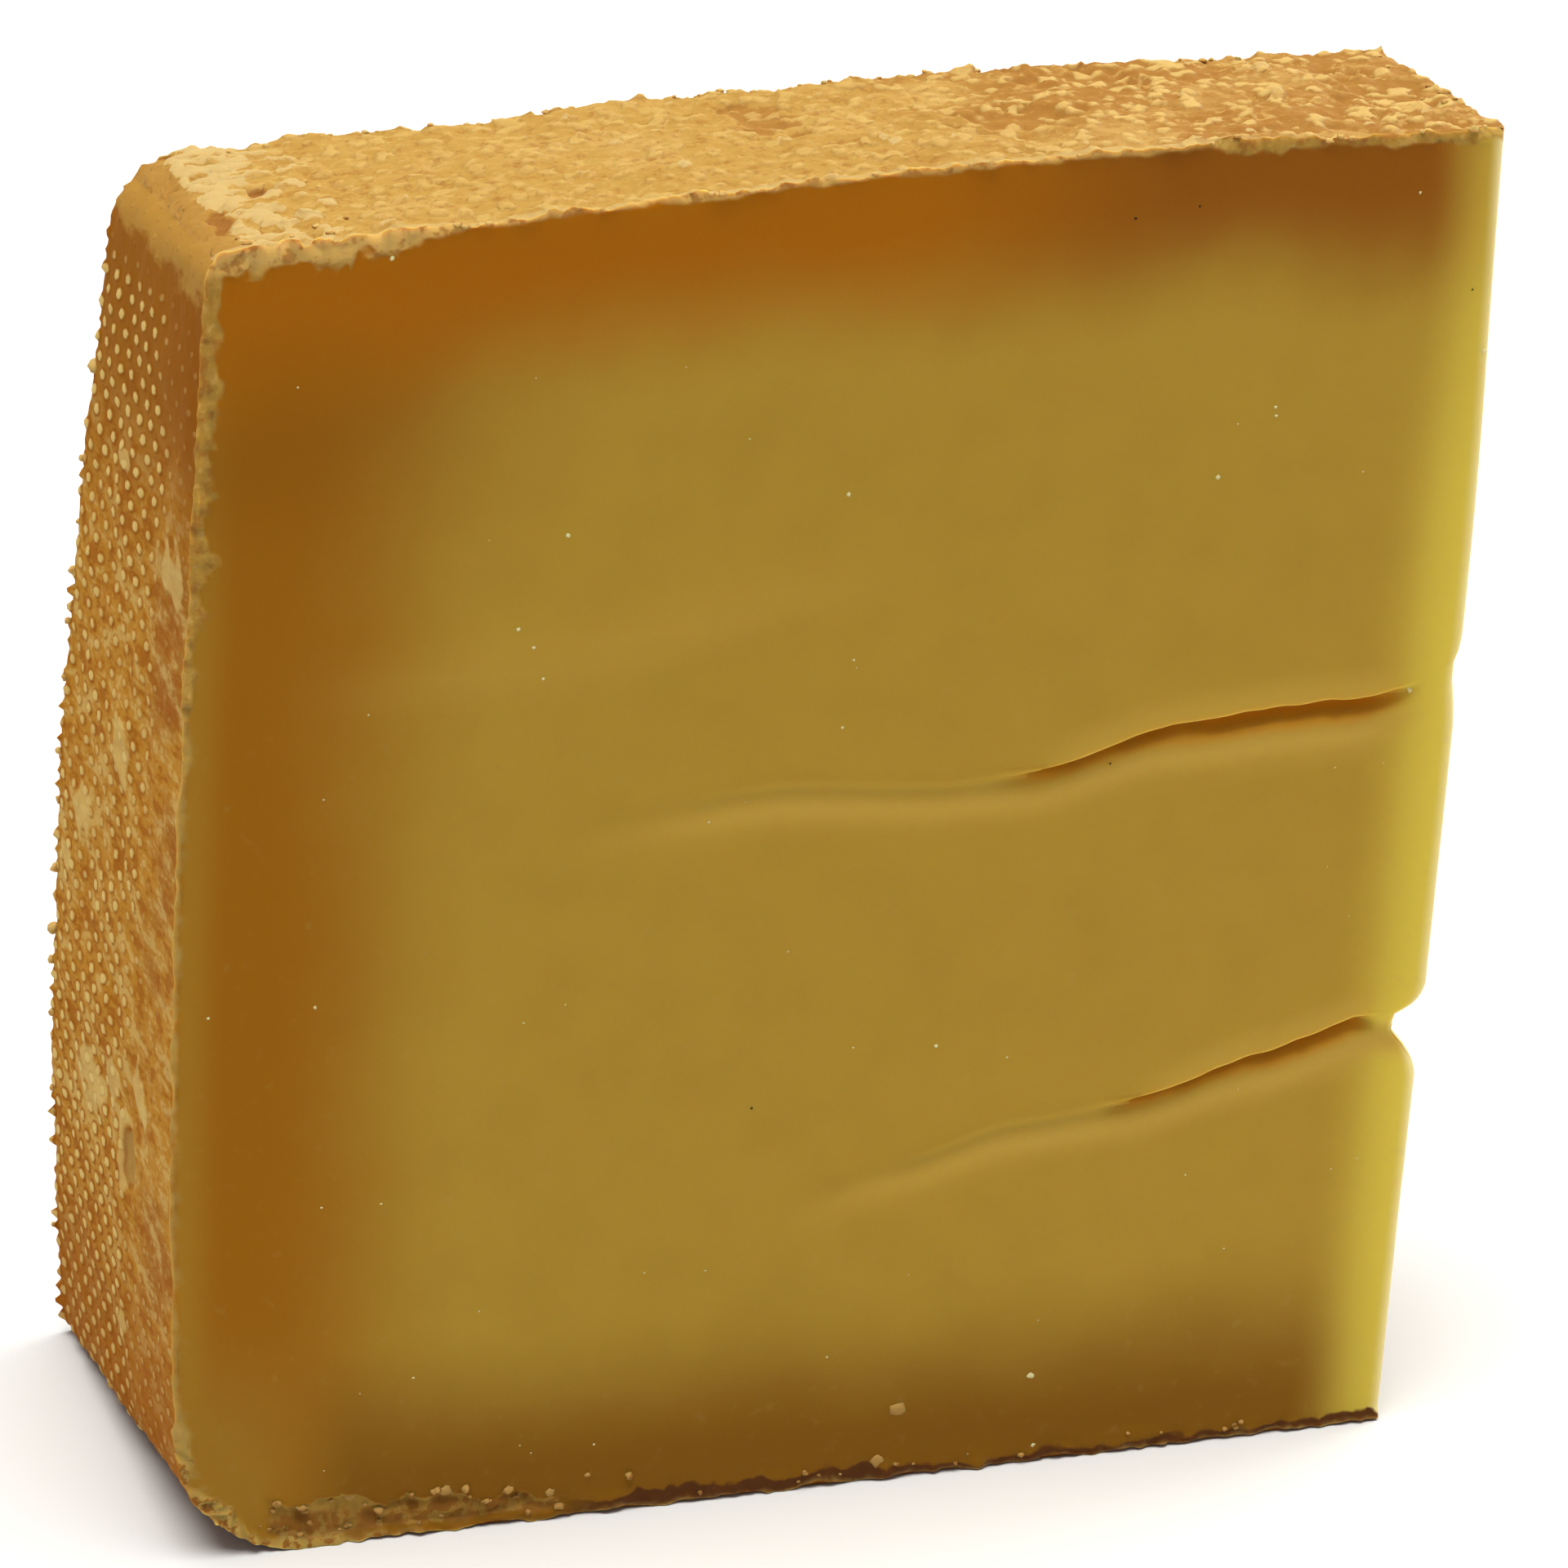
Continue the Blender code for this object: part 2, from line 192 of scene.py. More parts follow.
class CheeseReliefSizes(bpy.types.PropertyGroup):
    """Sizes of the relief: rind, cloth marks, flakes and cracks."""

    rim_relief: length("Height of the rim's broad lumps", 0.18)
    top_relief: length("Height of the top rind's broad lumps", 0.28)
    rind_wave: length("Length of the rind's broad lumps", 7.0)
    cut_relief: length("Height of the waves of the cut faces", 0.14)
    cut_wave: length("Length of the waves of the cut faces", 26.0)
    ragged_relief: length("How far the rind's edges are ragged", 0.45)
    ragged_wave: length("Length of the rags", 3.2)
    cloth_column: length("Distance of cloth marks along the depth", 3.5)
    cloth_row: length("Distance of rows of cloth marks", 1.41)
    cloth_slope: share("Rise of a row towards the front", 0.125)
    cloth_shift: length("Sideways shift from row to row", 1.35)
    mark_length: length("Half the length of a cloth mark", 0.78)
    mark_width: length("Half the width of a cloth mark", 0.5)
    cloth_height: length("Height of a cloth mark", 0.2)
    spike_height: length("How far the torn back edge of the rind sticks out", 0.75)
    flake_size: length("Distance of flakes on the top rind", 1.45)
    flake_height: length("Height of a flake on the top rind", 0.2)
    slit_depth: length("Depth of the open cracks", 1.9)
    lip_height: length("Height of the upper lip that hangs over a crack", 0.6)
    slope_height: length("Height of the slope below a crack", 1.4)
    fold_step: length("How far the paste steps back below a crack", 0.8)
    fold_softness: length("Half the height of the fold where the paste is not torn", 0.7)
    fold_reach: length("How far down that step fades", 3.0)
    faint_fold: length("Height of the faint third fold", 0.2)
    notch_depth: length("Depth of the lower crack in the right face", 2.6)
    notch_half_gap: length("Half the height of the notch's upright ground", 1.0)
    notch_reach_up: length("How far the rounded lip reaches up", 2.6)
    notch_reach_down: length("How far the slope below the notch reaches down", 4.2)
    notch_reach_in: length("How far the notch draws the front face in", 8.0)
    upper_line_depth: length("Depth of the upper crack in the right face", 0.5)
    torn_height: length("Height of the torn strip above the foot", 3.8)
    torn_depth: length("Depth of the torn strip above the foot", 0.7)


class CheesePasteColours(bpy.types.PropertyGroup):
    """Colours of the cut paste, with painted light: glow at the right arris, highlights by folds, shade in
    cracks.
    """

    heart: colour("Paste far from the rinds", "AB8A2F")
    heart_dull: colour("Duller clouds in the paste", "A2812B")
    # Amber and brown near the rinds, down to corner_olive: partly the paste's own drier zone, partly painted
    # shade where less light passes through the paste next to a rind.
    rim_amber: colour("Paste near the rim", "99630A")
    corner_amber: colour("Paste near the upper corner at the rim", "8E5906")
    top_amber: colour("Paste under the top rind at the rim", "A46405")
    top_brown: colour("Paste under the top rind at the right", "8E540C")
    foot_brown: colour("Paste above the lower rind", "835810")
    foot_line: colour("Cut section of the lower rind", "5C3414")
    corner_olive: colour("Paste in the rounded lower corner", "9C7220")
    # Painted light: glow is the light that shines through the thin paste at the right arris, and the next
    # colour is a near-white painted highlight on the arris itself.
    glow: colour("Thin paste at the right arris", "D8C24C")
    thin_edge: colour("Thinnest paste at the right arris", "E8DCA8")
    crust: colour("Crumbly edge of the cut rind", "A8863C")
    crust_edge: colour("Thin pale edge beside the lower rim and around the corner", "AE9450")
    crust_pale: colour("Dry edge of the cut rind, right under the top", "CCAA62")
    crust_dark: colour("Brown grains in that edge", "94622A")
    torn: colour("Torn strip above the lower rind", "8C5E22")
    # Painted highlight: paler bands beside the folds and cracks, where the paste turns up to the light above.
    fold_pale: colour("Stretched paste beside the folds and cracks", "BC9A42")
    # Painted shade: the orange-brown of the cracks' shade, where light seeps through the paste, brighter than
    # the paste so the shade still looks orange.
    cavity: colour("Paste inside the cracks", "CC8C22")


class CheeseRindColours(bpy.types.PropertyGroup):
    """Colours of the rinds."""

    rim_base: colour("Rim between the cloth marks", "AA7424")
    rim_dark: colour("Rim under the top arris", "824A0A")
    # rim_red is also laid in rings around the raised cloth marks: the reddish gaps, with painted shadow at the
    # marks' edges.
    rim_red: colour("Gaps around the cloth marks", "8E4E0C")
    rim_mark: colour("Cloth marks", "C8AA64")
    rim_pink: colour("Smooth strip of the rim beside the front face", "9A6422")
    rim_scar: colour("Body of the scar on the rim", "A27A3C")
    arris_tan: colour("Smooth arris between rim and top", "A07430")
    top_gold: colour("Top rind", "AB833B")
    top_brown: colour("Browner patches of the top rind", "986828")
    top_flake: colour("Pale flakes of the top rind", "C4A25C")
    foot_rind: colour("Lower rind", "5E3414")
    top_pale: colour("Paler clouds of the top rind", "BA9450")
    top_cream: colour("Ragged flakes of the top rind near the rim", "BA9C60")
    top_stain: colour("Brown pits of the top rind near the rim", "8A561E")
    crumb: colour("Loose crumbs", "C0A05C")
    crumb_dark: colour("Darker sides of the crumbs", "A47C3C")
    foot_crumb: colour("Crumbs of the lower rind", "A88446")
    foot_crumb_dark: colour("Darker sides of those crumbs", "7A5322")
    crystal: colour("Pale specks of the paste", "D8C490")
    grit: colour("Dark specks", "3A2410")


class CheeseCrumbNumbers(bpy.types.PropertyGroup):
    """Numbers of crumbs and specks."""

    seed: IntProperty(description="Start of the random places", default=7)
    top_count: IntProperty(description="Crumbs along the edges of the top", default=60)
    corner_count: IntProperty(description="Crumbs near the corner of rim and top", default=16)
    right_count: IntProperty(description="Crumbs along the right edge of the top", default=16)
    torn_count: IntProperty(description="Crumbs in the torn strip", default=34)
    foot_count: IntProperty(description="Crumbs along the foot", default=16)
    speck_count: IntProperty(description="Tiny pale specks on the front face", default=40)


class CheeseStageLook(bpy.types.PropertyGroup):
    """Floor, light and camera."""

    floor: colour("Matt floor", "DCDBD8")
    sky: colour("Even studio light from all sides", "FFFFFF")
    sky_strength: FloatProperty(description="Brightness of the even light", default=0.3)
    overhead_strength: FloatProperty(description="Wide soft light above", default=4.2)
    overhead_angle: angle("Apparent size of the light above", 50.0)
    side_power: FloatProperty(description="Soft box at the right, behind", default=1.5, unit="POWER")
    side_size: length("Width of the soft box at the right", 300.0)
    azimuth: angle("Camera to the left of the front face's normal", 18.95)
    elevation: angle("Camera above the floor", 20.11)
    roll: angle("Turn of the picture", -2.33)
    distance: length("Camera to the point it looks at", 435.0)
    target: FloatVectorProperty(description="Point the camera looks at, from the lower front corner",
                                default=(52.4 * MM, 15.0 * MM, 55.3 * MM), unit="LENGTH", precision=5)
    lens: FloatProperty(description="Focal length on a 36 mm sensor, in millimetres", default=125.0)


def in_millimetres(group):
    """The group's lengths in millimetres, and its other values as they are."""
    values = {}
    for key, setting in group.bl_rna.properties.items():
        if key not in ("rna_type", "name"):
            value = getattr(group, key)
            if setting.unit == "LENGTH":
                value = Vector(value) / MM if setting.is_array else value / MM
            values[key] = value
    return SimpleNamespace(**values)


def mix(start, end, part):
    return start + (end - start) * part


def smooth_step(low, high, value):
    """0 at low, 1 at high, with a soft change between. Low may be the larger one."""
    part = min(max((value - low) / (high - low), 0.0), 1.0)
    return part * part * (3.0 - 2.0 * part)


def span_strength(span, distance):
    """How open a crack or a tear is at a distance from the rim."""
    opens, full, closing, closed = span
    return smooth_step(opens, full, distance) * (1.0 - smooth_step(closing, closed, distance))


def height_along(points, distance):
    """Height of a crack at a distance from the rim, with soft bends at its points."""
    if distance <= points[0][0]:
        return points[0][1]
    for (start, low), (end, high) in zip(points, points[1:]):
        if distance <= end:
            straight = (distance - start) / (end - start)
            return mix(low, high, 0.5 * smooth_step(start, end, distance) + 0.5 * straight)
    return points[-1][1]


def crown_of(part, fullest):
    """A bulge from 0 to 1 and back to 0, fullest at the given share."""
    return math.sin(math.pi * part ** (math.log(0.5) / math.log(fullest)))


def wave(point, size, seed):
    """A soft random height between about -1 and 1."""
    return noise.noise(Vector((point.x / size + seed, point.y / size, point.z / size))) * 1.6


def even_rows(stops, step):
    """Rows of edges, as shares of the whole, evenly spaced between the stops."""
    rows = [stops[0]]
    for start, end in zip(stops, stops[1:]):
        count = max(1, round((end - start) / step))
        rows += [mix(start, end, index / count) for index in range(1, count + 1)]
    return [(row - rows[0]) / (rows[-1] - rows[0]) for row in rows]


def lattice_block(across_rows, inward_rows, up_rows):
    """A closed unit block whose edges form the given rows."""
    block = bmesh.new()
    bmesh.ops.create_cube(block, size=1.0)
    bmesh.ops.translate(block, verts=block.verts, vec=(0.5, 0.5, 0.5))
    for axis, rows in enumerate((across_rows, inward_rows, up_rows)):
        edges = [edge for edge in block.edges
                 if abs(edge.verts[0].co[axis] - edge.verts[1].co[axis]) > 0.5]
        bmesh.ops.subdivide_edges(block, edges=edges, cuts=len(rows) - 2, use_grid_fill=True)
        for vertex in block.verts:
            vertex.co[axis] = rows[round(vertex.co[axis] * (len(rows) - 1))]
    return block


# Marks that the materials read: slit carries the painted shade of the cracks, fold the painted highlights
# beside them.
MARKS = ("cloth", "cloth_column", "cloth_row", "smear", "scar", "flake", "stain", "cream", "crust", "slit",
         "fold", "torn", "foot_line")


class CheeseForm:
    """Gives a lattice point (shares from rim to cut, front to back, foot to top) its finished place.

    The last number of a wave or noise only picks its pattern.
    """

    RIM, TOP, FOOT, CUT, FRONT, BACK = "rim", "top", "foot", "cut", "front", "back"

    def __init__(self, sizes, relief):
        self.sizes = sizes
        self.relief = relief
        self.crack_rows = [points[2][1] / sizes.height_at_rim for points in (LOWER_CRACK, UPPER_CRACK)]

    def side_of(self, centre):
        """Which side of the block a lattice face lies on."""
        sides = ((centre.x, self.RIM), (1.0 - centre.z, self.TOP), (centre.z, self.FOOT),
                 (1.0 - centre.x, self.CUT), (centre.y, self.FRONT), (1.0 - centre.y, self.BACK))
        return min(sides)[1]

    def top_height(self, across):
        sizes = self.sizes
        return (mix(sizes.height_at_rim, sizes.height_at_cut, across)
                + sizes.top_crown * crown_of(across, sizes.top_fullest))

    def plain_point(self, across, inward, up):
        """A point of the plain block, from its three shares."""
        sizes = self.sizes
        left = sizes.rim_lean * up + sizes.back_shift_at_rim * inward
        right = mix(sizes.width_below, sizes.rim_lean + sizes.width_above, up)
        right += sizes.back_shift_at_cut * inward
        depth_at_rim = mix(sizes.depth_at_rim_below, sizes.depth_at_rim_above, up)
        depth_at_cut = mix(sizes.depth_at_cut_below, sizes.depth_at_cut_above, up)
        depth = mix(depth_at_rim, depth_at_cut, across)
        return Vector((mix(left, right, across), depth * inward, self.top_height(across) * up))

    def crack_heights(self, distance):
        return [height_along(points, distance) for points in (LOWER_CRACK, UPPER_CRACK)]

    def row_stops(self, heights, top):
        """Pairs of neighbouring rows of the lattice, each with the height that it is bent to."""
        stops = [(0.0, 0.0), *zip(self.crack_rows, heights), (1.0, top)]
        return zip(stops, stops[1:])

    def bent_height(self, up, heights, top):
        """Height of a row, bent so that the rows of the cracks follow them."""
        for (row_low, low), (row_high, high) in self.row_stops(heights, top):
            if up <= row_high:
                return mix(low, high, (up - row_low) / (row_high - row_low))
        return top

    def wanted_step(self, centre, side):
        """How small the faces have to be at a place of the block."""
        sizes = self.sizes
        if side in (self.RIM, self.TOP):
            return sizes.fine_step
        distance = centre.x * sizes.width_below
        depth = centre.y * sizes.depth_at_rim_above
        top = self.top_height(centre.x)
        heights = self.crack_heights(distance)
        height = self.bent_height(centre.z, heights, top)
        near_crack = min(max(1.6 * (height - crack), 0.6 * (crack - height)) + 30.0 * (distance < span[0])
                         for crack, span in zip(heights, (LOWER_FOLD_SPAN, UPPER_FOLD_SPAN)))
        near_edge = {
            self.FRONT: min(distance - 3.0, top - height - 1.0, height - 3.5, sizes.width_below - distance,
                            near_crack - 1.3),
            self.CUT: min(depth, top - height, near_crack - 2.2, height - 0.6) - 0.2,
            self.BACK: min(distance, top - height, height - 0.6),
            self.FOOT: min(distance, depth)}[side]
        return sizes.fine_step if near_edge < FINE_WIDTH else sizes.coarse_step

    def cloth_phases(self, depth, height):
        """Column and row of the cloth at a place of the rim, whole numbers at the middle of a mark."""
        relief = self.relief
        place = Vector((0.0, depth, height))
        row = (height + relief.cloth_slope * depth) / relief.cloth_row + 0.1 * wave(place, 6.0, 43.0)
        column = (depth - relief.cloth_shift * row) / relief.cloth_column + 0.06 * wave(place, 5.0, 41.0)
        return column, row

    def cloth_mark(self, depth, height):
        """Phases of the cloth, how clear its marks are, and the height of the mark at this place."""
        sizes, relief = self.sizes, self.relief
        place = Vector((0.0, depth, height))
        column, row = self.cloth_phases(depth, height)
        off_row = row - round(row)
        off_depth = relief.cloth_column * (column - round(column)) + relief.cloth_shift * off_row
        off_height = relief.cloth_row * off_row
        dome = max(0.0, 1.0 - (off_depth / relief.mark_length) ** 2 - (off_height / relief.mark_width) ** 2)
        strip = mix(9.5, 15.5, smooth_step(54.0, 30.0, height))
        shown = smooth_step(strip - 3.0, strip + 1.5, depth + 1.5 * wave(place, 9.0, 47.0))
        middle = smooth_step(84.0, 70.0, height) * smooth_step(36.0, 48.0, height)
        worn = min(max(mix(1.0, 0.8, middle) + mix(0.15, 0.45, middle) * wave(place, 5.0, 53.0), 0.2), 1.0)
        faded_above = 1.0 - smooth_step(sizes.height_at_rim - 8.5, sizes.height_at_rim - 5.0, height)
        clear = worn * faded_above * mix(mix(0.2, 0.5, smooth_step(26.0, 16.0, height)), 1.0, shown)
        return column, row, clear, dome ** 0.7 * clear

    def patch(self, patches, first, second, ragged):
        """How strongly any of the named patches covers a place, from 0 to 1."""
        covered = 0.0
        for middle_first, middle_second, half_first, half_second in patches:
            away = math.hypot((first - middle_first) / half_first, (second - middle_second) / half_second)
            covered = max(covered, smooth_step(1.3, 0.7, away + 0.5 * ragged))
        return covered

    def flake(self, point):
        """How far a place of the top rind lies inside a flake, below 0 outside. Small flakes stay low."""
        size = self.relief.flake_size
        place = Vector((point.x / size, point.y / size, 0.0))
        place += Vector((0.09 * wave(point, 1.2, 61.0), 0.09 * wave(point, 1.2, 67.0), 0.0))
        distances, centres = noise.voronoi(place)
        chosen = noise.cell(centres[0] * 7.3) * 0.5 + 0.5
        radius = mix(0.22, 0.58, chosen)
        return min(max((radius - distances[0]) * 3.5, -1.0), mix(0.4, 1.0, chosen))

    def slit_shape(self, offset, slit, fold, wide, distance):
        """Inward push and new height offset of a point near a crack: a soft fold, or a lip above a hollow."""
        relief = self.relief
        open_share = smooth_step(0.0, 0.25, slit)
        softness = mix(relief.fold_softness, 0.08, open_share)
        below = 0.5 - 0.5 * math.tanh(offset / softness)
        push = relief.fold_step * fold * below * math.exp(min(offset, 0.0) / relief.fold_reach)
        fading = math.exp(-max(offset, 0.0) / relief.fold_reach)
        push -= 0.45 * relief.fold_step * fold * (1.0 - below) * fading
        if offset > 0.0:
            wall = max(0.0, 1.0 - offset / relief.lip_height)
            hanging = (relief.lip_height - 0.06) * math.exp(-max(0.0, offset - relief.lip_height) / 1.6)
            new_offset = 0.1 + 0.3 * math.sin(math.pi * (1.0 - wall)) if wall > 0.0 else offset - hanging
            return push + relief.slit_depth * slit * min(1.0, 2.0 * wall), mix(offset, new_offset, slit)
        uneven = 1.0 + 0.8 * noise.noise(Vector((distance / 4.3, 9.0, 0.0))) + 0.1 * noise.noise(
            Vector((distance / 1.1, 4.0, 0.0)))
        wall = max(0.0, 1.0 + offset / (relief.slope_height * uneven * wide))
        return push + relief.slit_depth * slit * wall ** 0.8, offset

    def notch(self, offset):
        """Share of a notch's depth at a height from its crack: a rounded lip above, a gentle slope below."""
        relief = self.relief
        if offset > relief.notch_half_gap:
            gone = min((offset - relief.notch_half_gap) / relief.notch_reach_up, 1.0)
            return 1.0 - math.sqrt(1.0 - (1.0 - gone) ** 2)
        gone = min(max((-relief.notch_half_gap - offset) / relief.notch_reach_down, 0.0), 1.0)
        return (1.0 - gone) ** 1.7

    def round_arris(self, point, wall, floor, radius, rises):
        """Moves a point near the arris of a wall and a floor onto its rounding."""
        from_wall = point.x - wall
        from_floor = point.z - floor if rises else floor - point.z
        if from_wall >= radius or from_floor >= radius:
            return
        short_wall = radius - from_wall
        short_floor = radius - from_floor
        scale = max(short_wall, short_floor) / math.hypot(short_wall, short_floor)
        point.x = wall + radius - short_wall * scale
        new_floor = radius - short_floor * scale
        point.z = floor + new_floor if rises else floor - new_floor

    def crust_width(self, distance, height):
        """Width of the pale cut section of the rind: beside the rim, under the top and over the foot."""
        beside_rim = 0.35 + 1.05 * smooth_step(58.0, 88.0, height) + 0.9 * smooth_step(17.0, 9.0, height)
        under_top = 0.42 + 1.2 * smooth_step(20.0, 13.0, distance) + 0.45 * smooth_step(76.0, 82.0, distance)
        over_foot = 0.9 * smooth_step(20.0, 11.0, distance)
        return beside_rim, under_top, over_foot

    def place(self, lattice_point):
        """The finished place in millimetres, with the marks that the materials read."""
        sizes = self.sizes
        across, inward, up = lattice_point
        distance, top = across * sizes.width_below, self.top_height(across)
        heights = self.crack_heights(distance)
        height = self.bent_height(up, heights, top)
        point = self.plain_point(across, inward, height / top)
        marks = dict.fromkeys(MARKS, 0.0)
        marks["from_front"] = point.y
        spot = SimpleNamespace(
            point=point, marks=marks, across=across, inward=inward, share_up=height / top, distance=distance,
            height=height, top=top, from_cut=(1.0 - across) * sizes.width_below,
            on_front=inward < TINY, on_back=inward > 1.0 - TINY, on_rim=across < TINY,
            on_cut=across > 1.0 - TINY, on_foot=up < TINY, on_top=up > 1.0 - TINY)
        if spot.on_front or spot.on_cut or spot.on_back:
            depths = self.relief.notch_depth, self.relief.upper_line_depth
            spans = (LOWER_SLIT_SPAN, LOWER_FOLD_SPAN), (UPPER_SLIT_SPAN, UPPER_FOLD_SPAN)
            for (slit_span, fold_span), crack_height, depth in zip(spans, heights, depths):
                if abs(height - crack_height) <= CRACK_REACH:
                    self.open_crack(spot, height - crack_height, slit_span, fold_span, depth)
        if spot.on_front:
            self.raise_faint_fold(spot)
        self.bulge(spot)
        if spot.on_rim or spot.on_top:
            self.shape_rinds(spot)
        self.wave_cuts(spot)
        if spot.on_front or spot.on_back or spot.on_cut:
            self.crumble_edges(spot)
        if spot.on_back or spot.on_rim or spot.on_top:
            self.tear_back(spot)
        self.round_arrises(spot)
        marks.update(from_rim=0.0 if spot.on_rim else distance, from_top=top - height, from_foot=height,
                     from_cut=spot.from_cut, from_arris=spot.from_cut + marks["from_front"])
        return point, marks

    def open_crack(self, spot, offset, slit_span, fold_span, cut_depth):
        """One crack: a fold that opens into a slit on the front face, and a notch in the right face."""
        relief, point, marks, distance = self.relief, spot.point, spot.marks, spot.distance
        if spot.on_front or spot.on_cut:
            slit = span_strength(slit_span, distance)
            fold = span_strength(fold_span, distance)
            wide = mix(0.3, 1.0, smooth_step(slit_span[0] + 6.0, slit_span[0] + 22.0, distance))
            push, new_offset = self.slit_shape(offset, slit, fold, wide, distance)
            jitter = 0.3 * slit * noise.noise(Vector((distance / 2.3, 5.0, 0.0)))
            shift = new_offset - offset + jitter * math.exp(-abs(offset) / 1.5)
            # The slit mark paints the crack's shade: orange-brown where light seeps through the paste into the
            # hollow.
            marks["slit"] = max(marks["slit"], smooth_step(0.05, 0.8, push - relief.fold_step * fold))
        if spot.on_front:
            point.z += shift
            point.y += push
            # The painted shade of the slit mark also covers the shadow that the lip casts below the crack.
            reach = 0.5 + 1.4 * wide * slit
            shade = smooth_step(-reach - 0.6, -reach + 0.4, offset) * smooth_step(0.5, 0.1, offset)
            marks["slit"] = max(marks["slit"], 0.65 * smooth_step(0.0, 0.5, slit) * shade)
            # The fold mark is a painted highlight: a band below the crack where the paste slopes up to the
            # light, and one above its lip.
            band_below = math.exp(-((offset + 1.9 + 1.1 * slit * wide) / 1.3) ** 2)
            band_above = math.exp(-((offset - 1.3) / 0.9) ** 2) * smooth_step(0.2, 0.9, slit)
            marks["fold"] = max(marks["fold"], fold * band_below, 0.6 * fold * band_above)
        elif spot.on_cut:
            point.z += shift * math.exp(-point.y / 3.0)
            point.y = max(point.y, push)
        if spot.from_cut < relief.notch_reach_in:
            drawn_in = (1.0 - spot.from_cut / relief.notch_reach_in) ** 2 * (1.0 - 0.6 * spot.inward)
            point.x -= cut_depth * drawn_in * self.notch(offset)

    def raise_faint_fold(self, spot):
        """The faint third fold above the cracks."""
        offset = spot.height - height_along(FAINT_FOLD, spot.distance)
        faint = span_strength(FAINT_FOLD_SPAN, spot.distance) * math.exp(-(offset / 2.2) ** 2)
        spot.point.y -= self.relief.faint_fold * faint
        # Painted highlight along the faint fold.
        spot.marks["fold"] = max(spot.marks["fold"], 0.3 * faint)

    def bulge(self, spot):
        """The bulges of the rim and of the right cut face."""
        sizes = self.sizes
        rim_bulge = mix(sizes.rim_bulge_front, sizes.rim_bulge_back, spot.inward)
        rim_bulge *= crown_of(spot.share_up, sizes.rim_fullest)
        spot.point.x -= rim_bulge * (1.0 - spot.across) ** 4
        spot.point.x += sizes.cut_bulge * crown_of(spot.share_up, sizes.cut_fullest) * spot.across ** 4

    def shape_rinds(self, spot):
        """Broad lumps and fine grain of the rinds, with what each rind has of its own."""
        relief, point = self.relief, spot.point
        lumps = wave(point, relief.rind_wave, 3.1) + 0.5 * wave(point, relief.ragged_wave, 7.7)
        lumps *= relief.rim_relief if spot.on_rim else relief.top_relief
        grain = 0.07 * wave(point, 0.9, 13.0)
        if spot.on_rim:
            self.shape_rim(spot, lumps, grain)
        if spot.on_top:
            self.shape_top(spot, lumps, grain)

    def shape_rim(self, spot, lumps, grain):
        """The rim with its cloth marks, smears and scar."""
        relief, point, marks, height = self.relief, spot.point, spot.marks, spot.height
        marks["cloth_column"], marks["cloth_row"], marks["cloth"], dome = self.cloth_mark(point.y, height)
        ragged = wave(point, 1.6, 73.0)
        marks["smear"] = self.patch(RIM_SMEARS, point.y, height, ragged)
        (depth_above, scar_top), (depth_below, scar_foot) = RIM_SCAR
        part = (scar_top - height) / (scar_top - scar_foot)
        if 0.0 < part < 1.0:
            scar_depth = mix(depth_above, depth_below, part) + 0.3 * ragged
            marks["scar"] = smooth_step(1.0, 0.55, math.hypot((point.y - scar_depth) / 2.3, 2.0 * part - 1.0))
        point.x -= lumps + 0.6 * grain + relief.cloth_height * dome * (1.0 - 0.7 * marks["smear"])
        point.x -= marks["smear"] * (0.16 + 0.12 * ragged) - 0.4 * marks["scar"]

    def shape_top(self, spot, lumps, grain):
        """The top rind with its flakes, stains and cream patches."""
        relief, point, marks, distance = self.relief, spot.point, spot.marks, spot.distance
        marks["flake"] = self.flake(point)
        ragged = wave(point, 1.5, 83.0)
        marks["stain"] = self.patch(TOP_STAINS, point.x, point.y, ragged)
        cream = smooth_step(2.4, 3.2, distance) * smooth_step(15.0, 4.0, distance)
        cream = 0.75 * cream + 0.4 * ragged + 0.4 * wave(Vector((point.x, 2.0 * point.y, 0.0)), 2.4, 89.0)
        marks["cream"] = smooth_step(0.48, 0.68, cream) * (1.0 - marks["stain"])
        marks["cream"] *= smooth_step(2.0, 3.0, distance)
        point.z += lumps + 1.6 * grain + 0.12 * ragged
        flake_height = relief.flake_height * smooth_step(3.0, 7.0, distance)
        point.z += flake_height * smooth_step(-0.25, 0.5, marks["flake"])
        point.z += 0.3 * marks["cream"] - 0.35 * marks["stain"]

    def wave_cuts(self, spot):
        """The soft waves of the cut faces and the ragged edges of the rinds."""
        relief, point = self.relief, spot.point
        if spot.on_front or spot.on_back:
            if not (spot.on_rim or spot.on_top or spot.on_foot):
                point.y += relief.cut_relief * wave(point, relief.cut_wave, 11.0)
                point.y += 0.10 * noise.noise(Vector((point.x / 34.0, 0.0, point.z / 7.0)))
            if spot.on_rim or spot.on_top:
                point.y += relief.ragged_relief * wave(point, relief.ragged_wave, 17.0)
        if spot.on_cut:
            point.x += relief.cut_relief * wave(point, relief.cut_wave, 23.0)

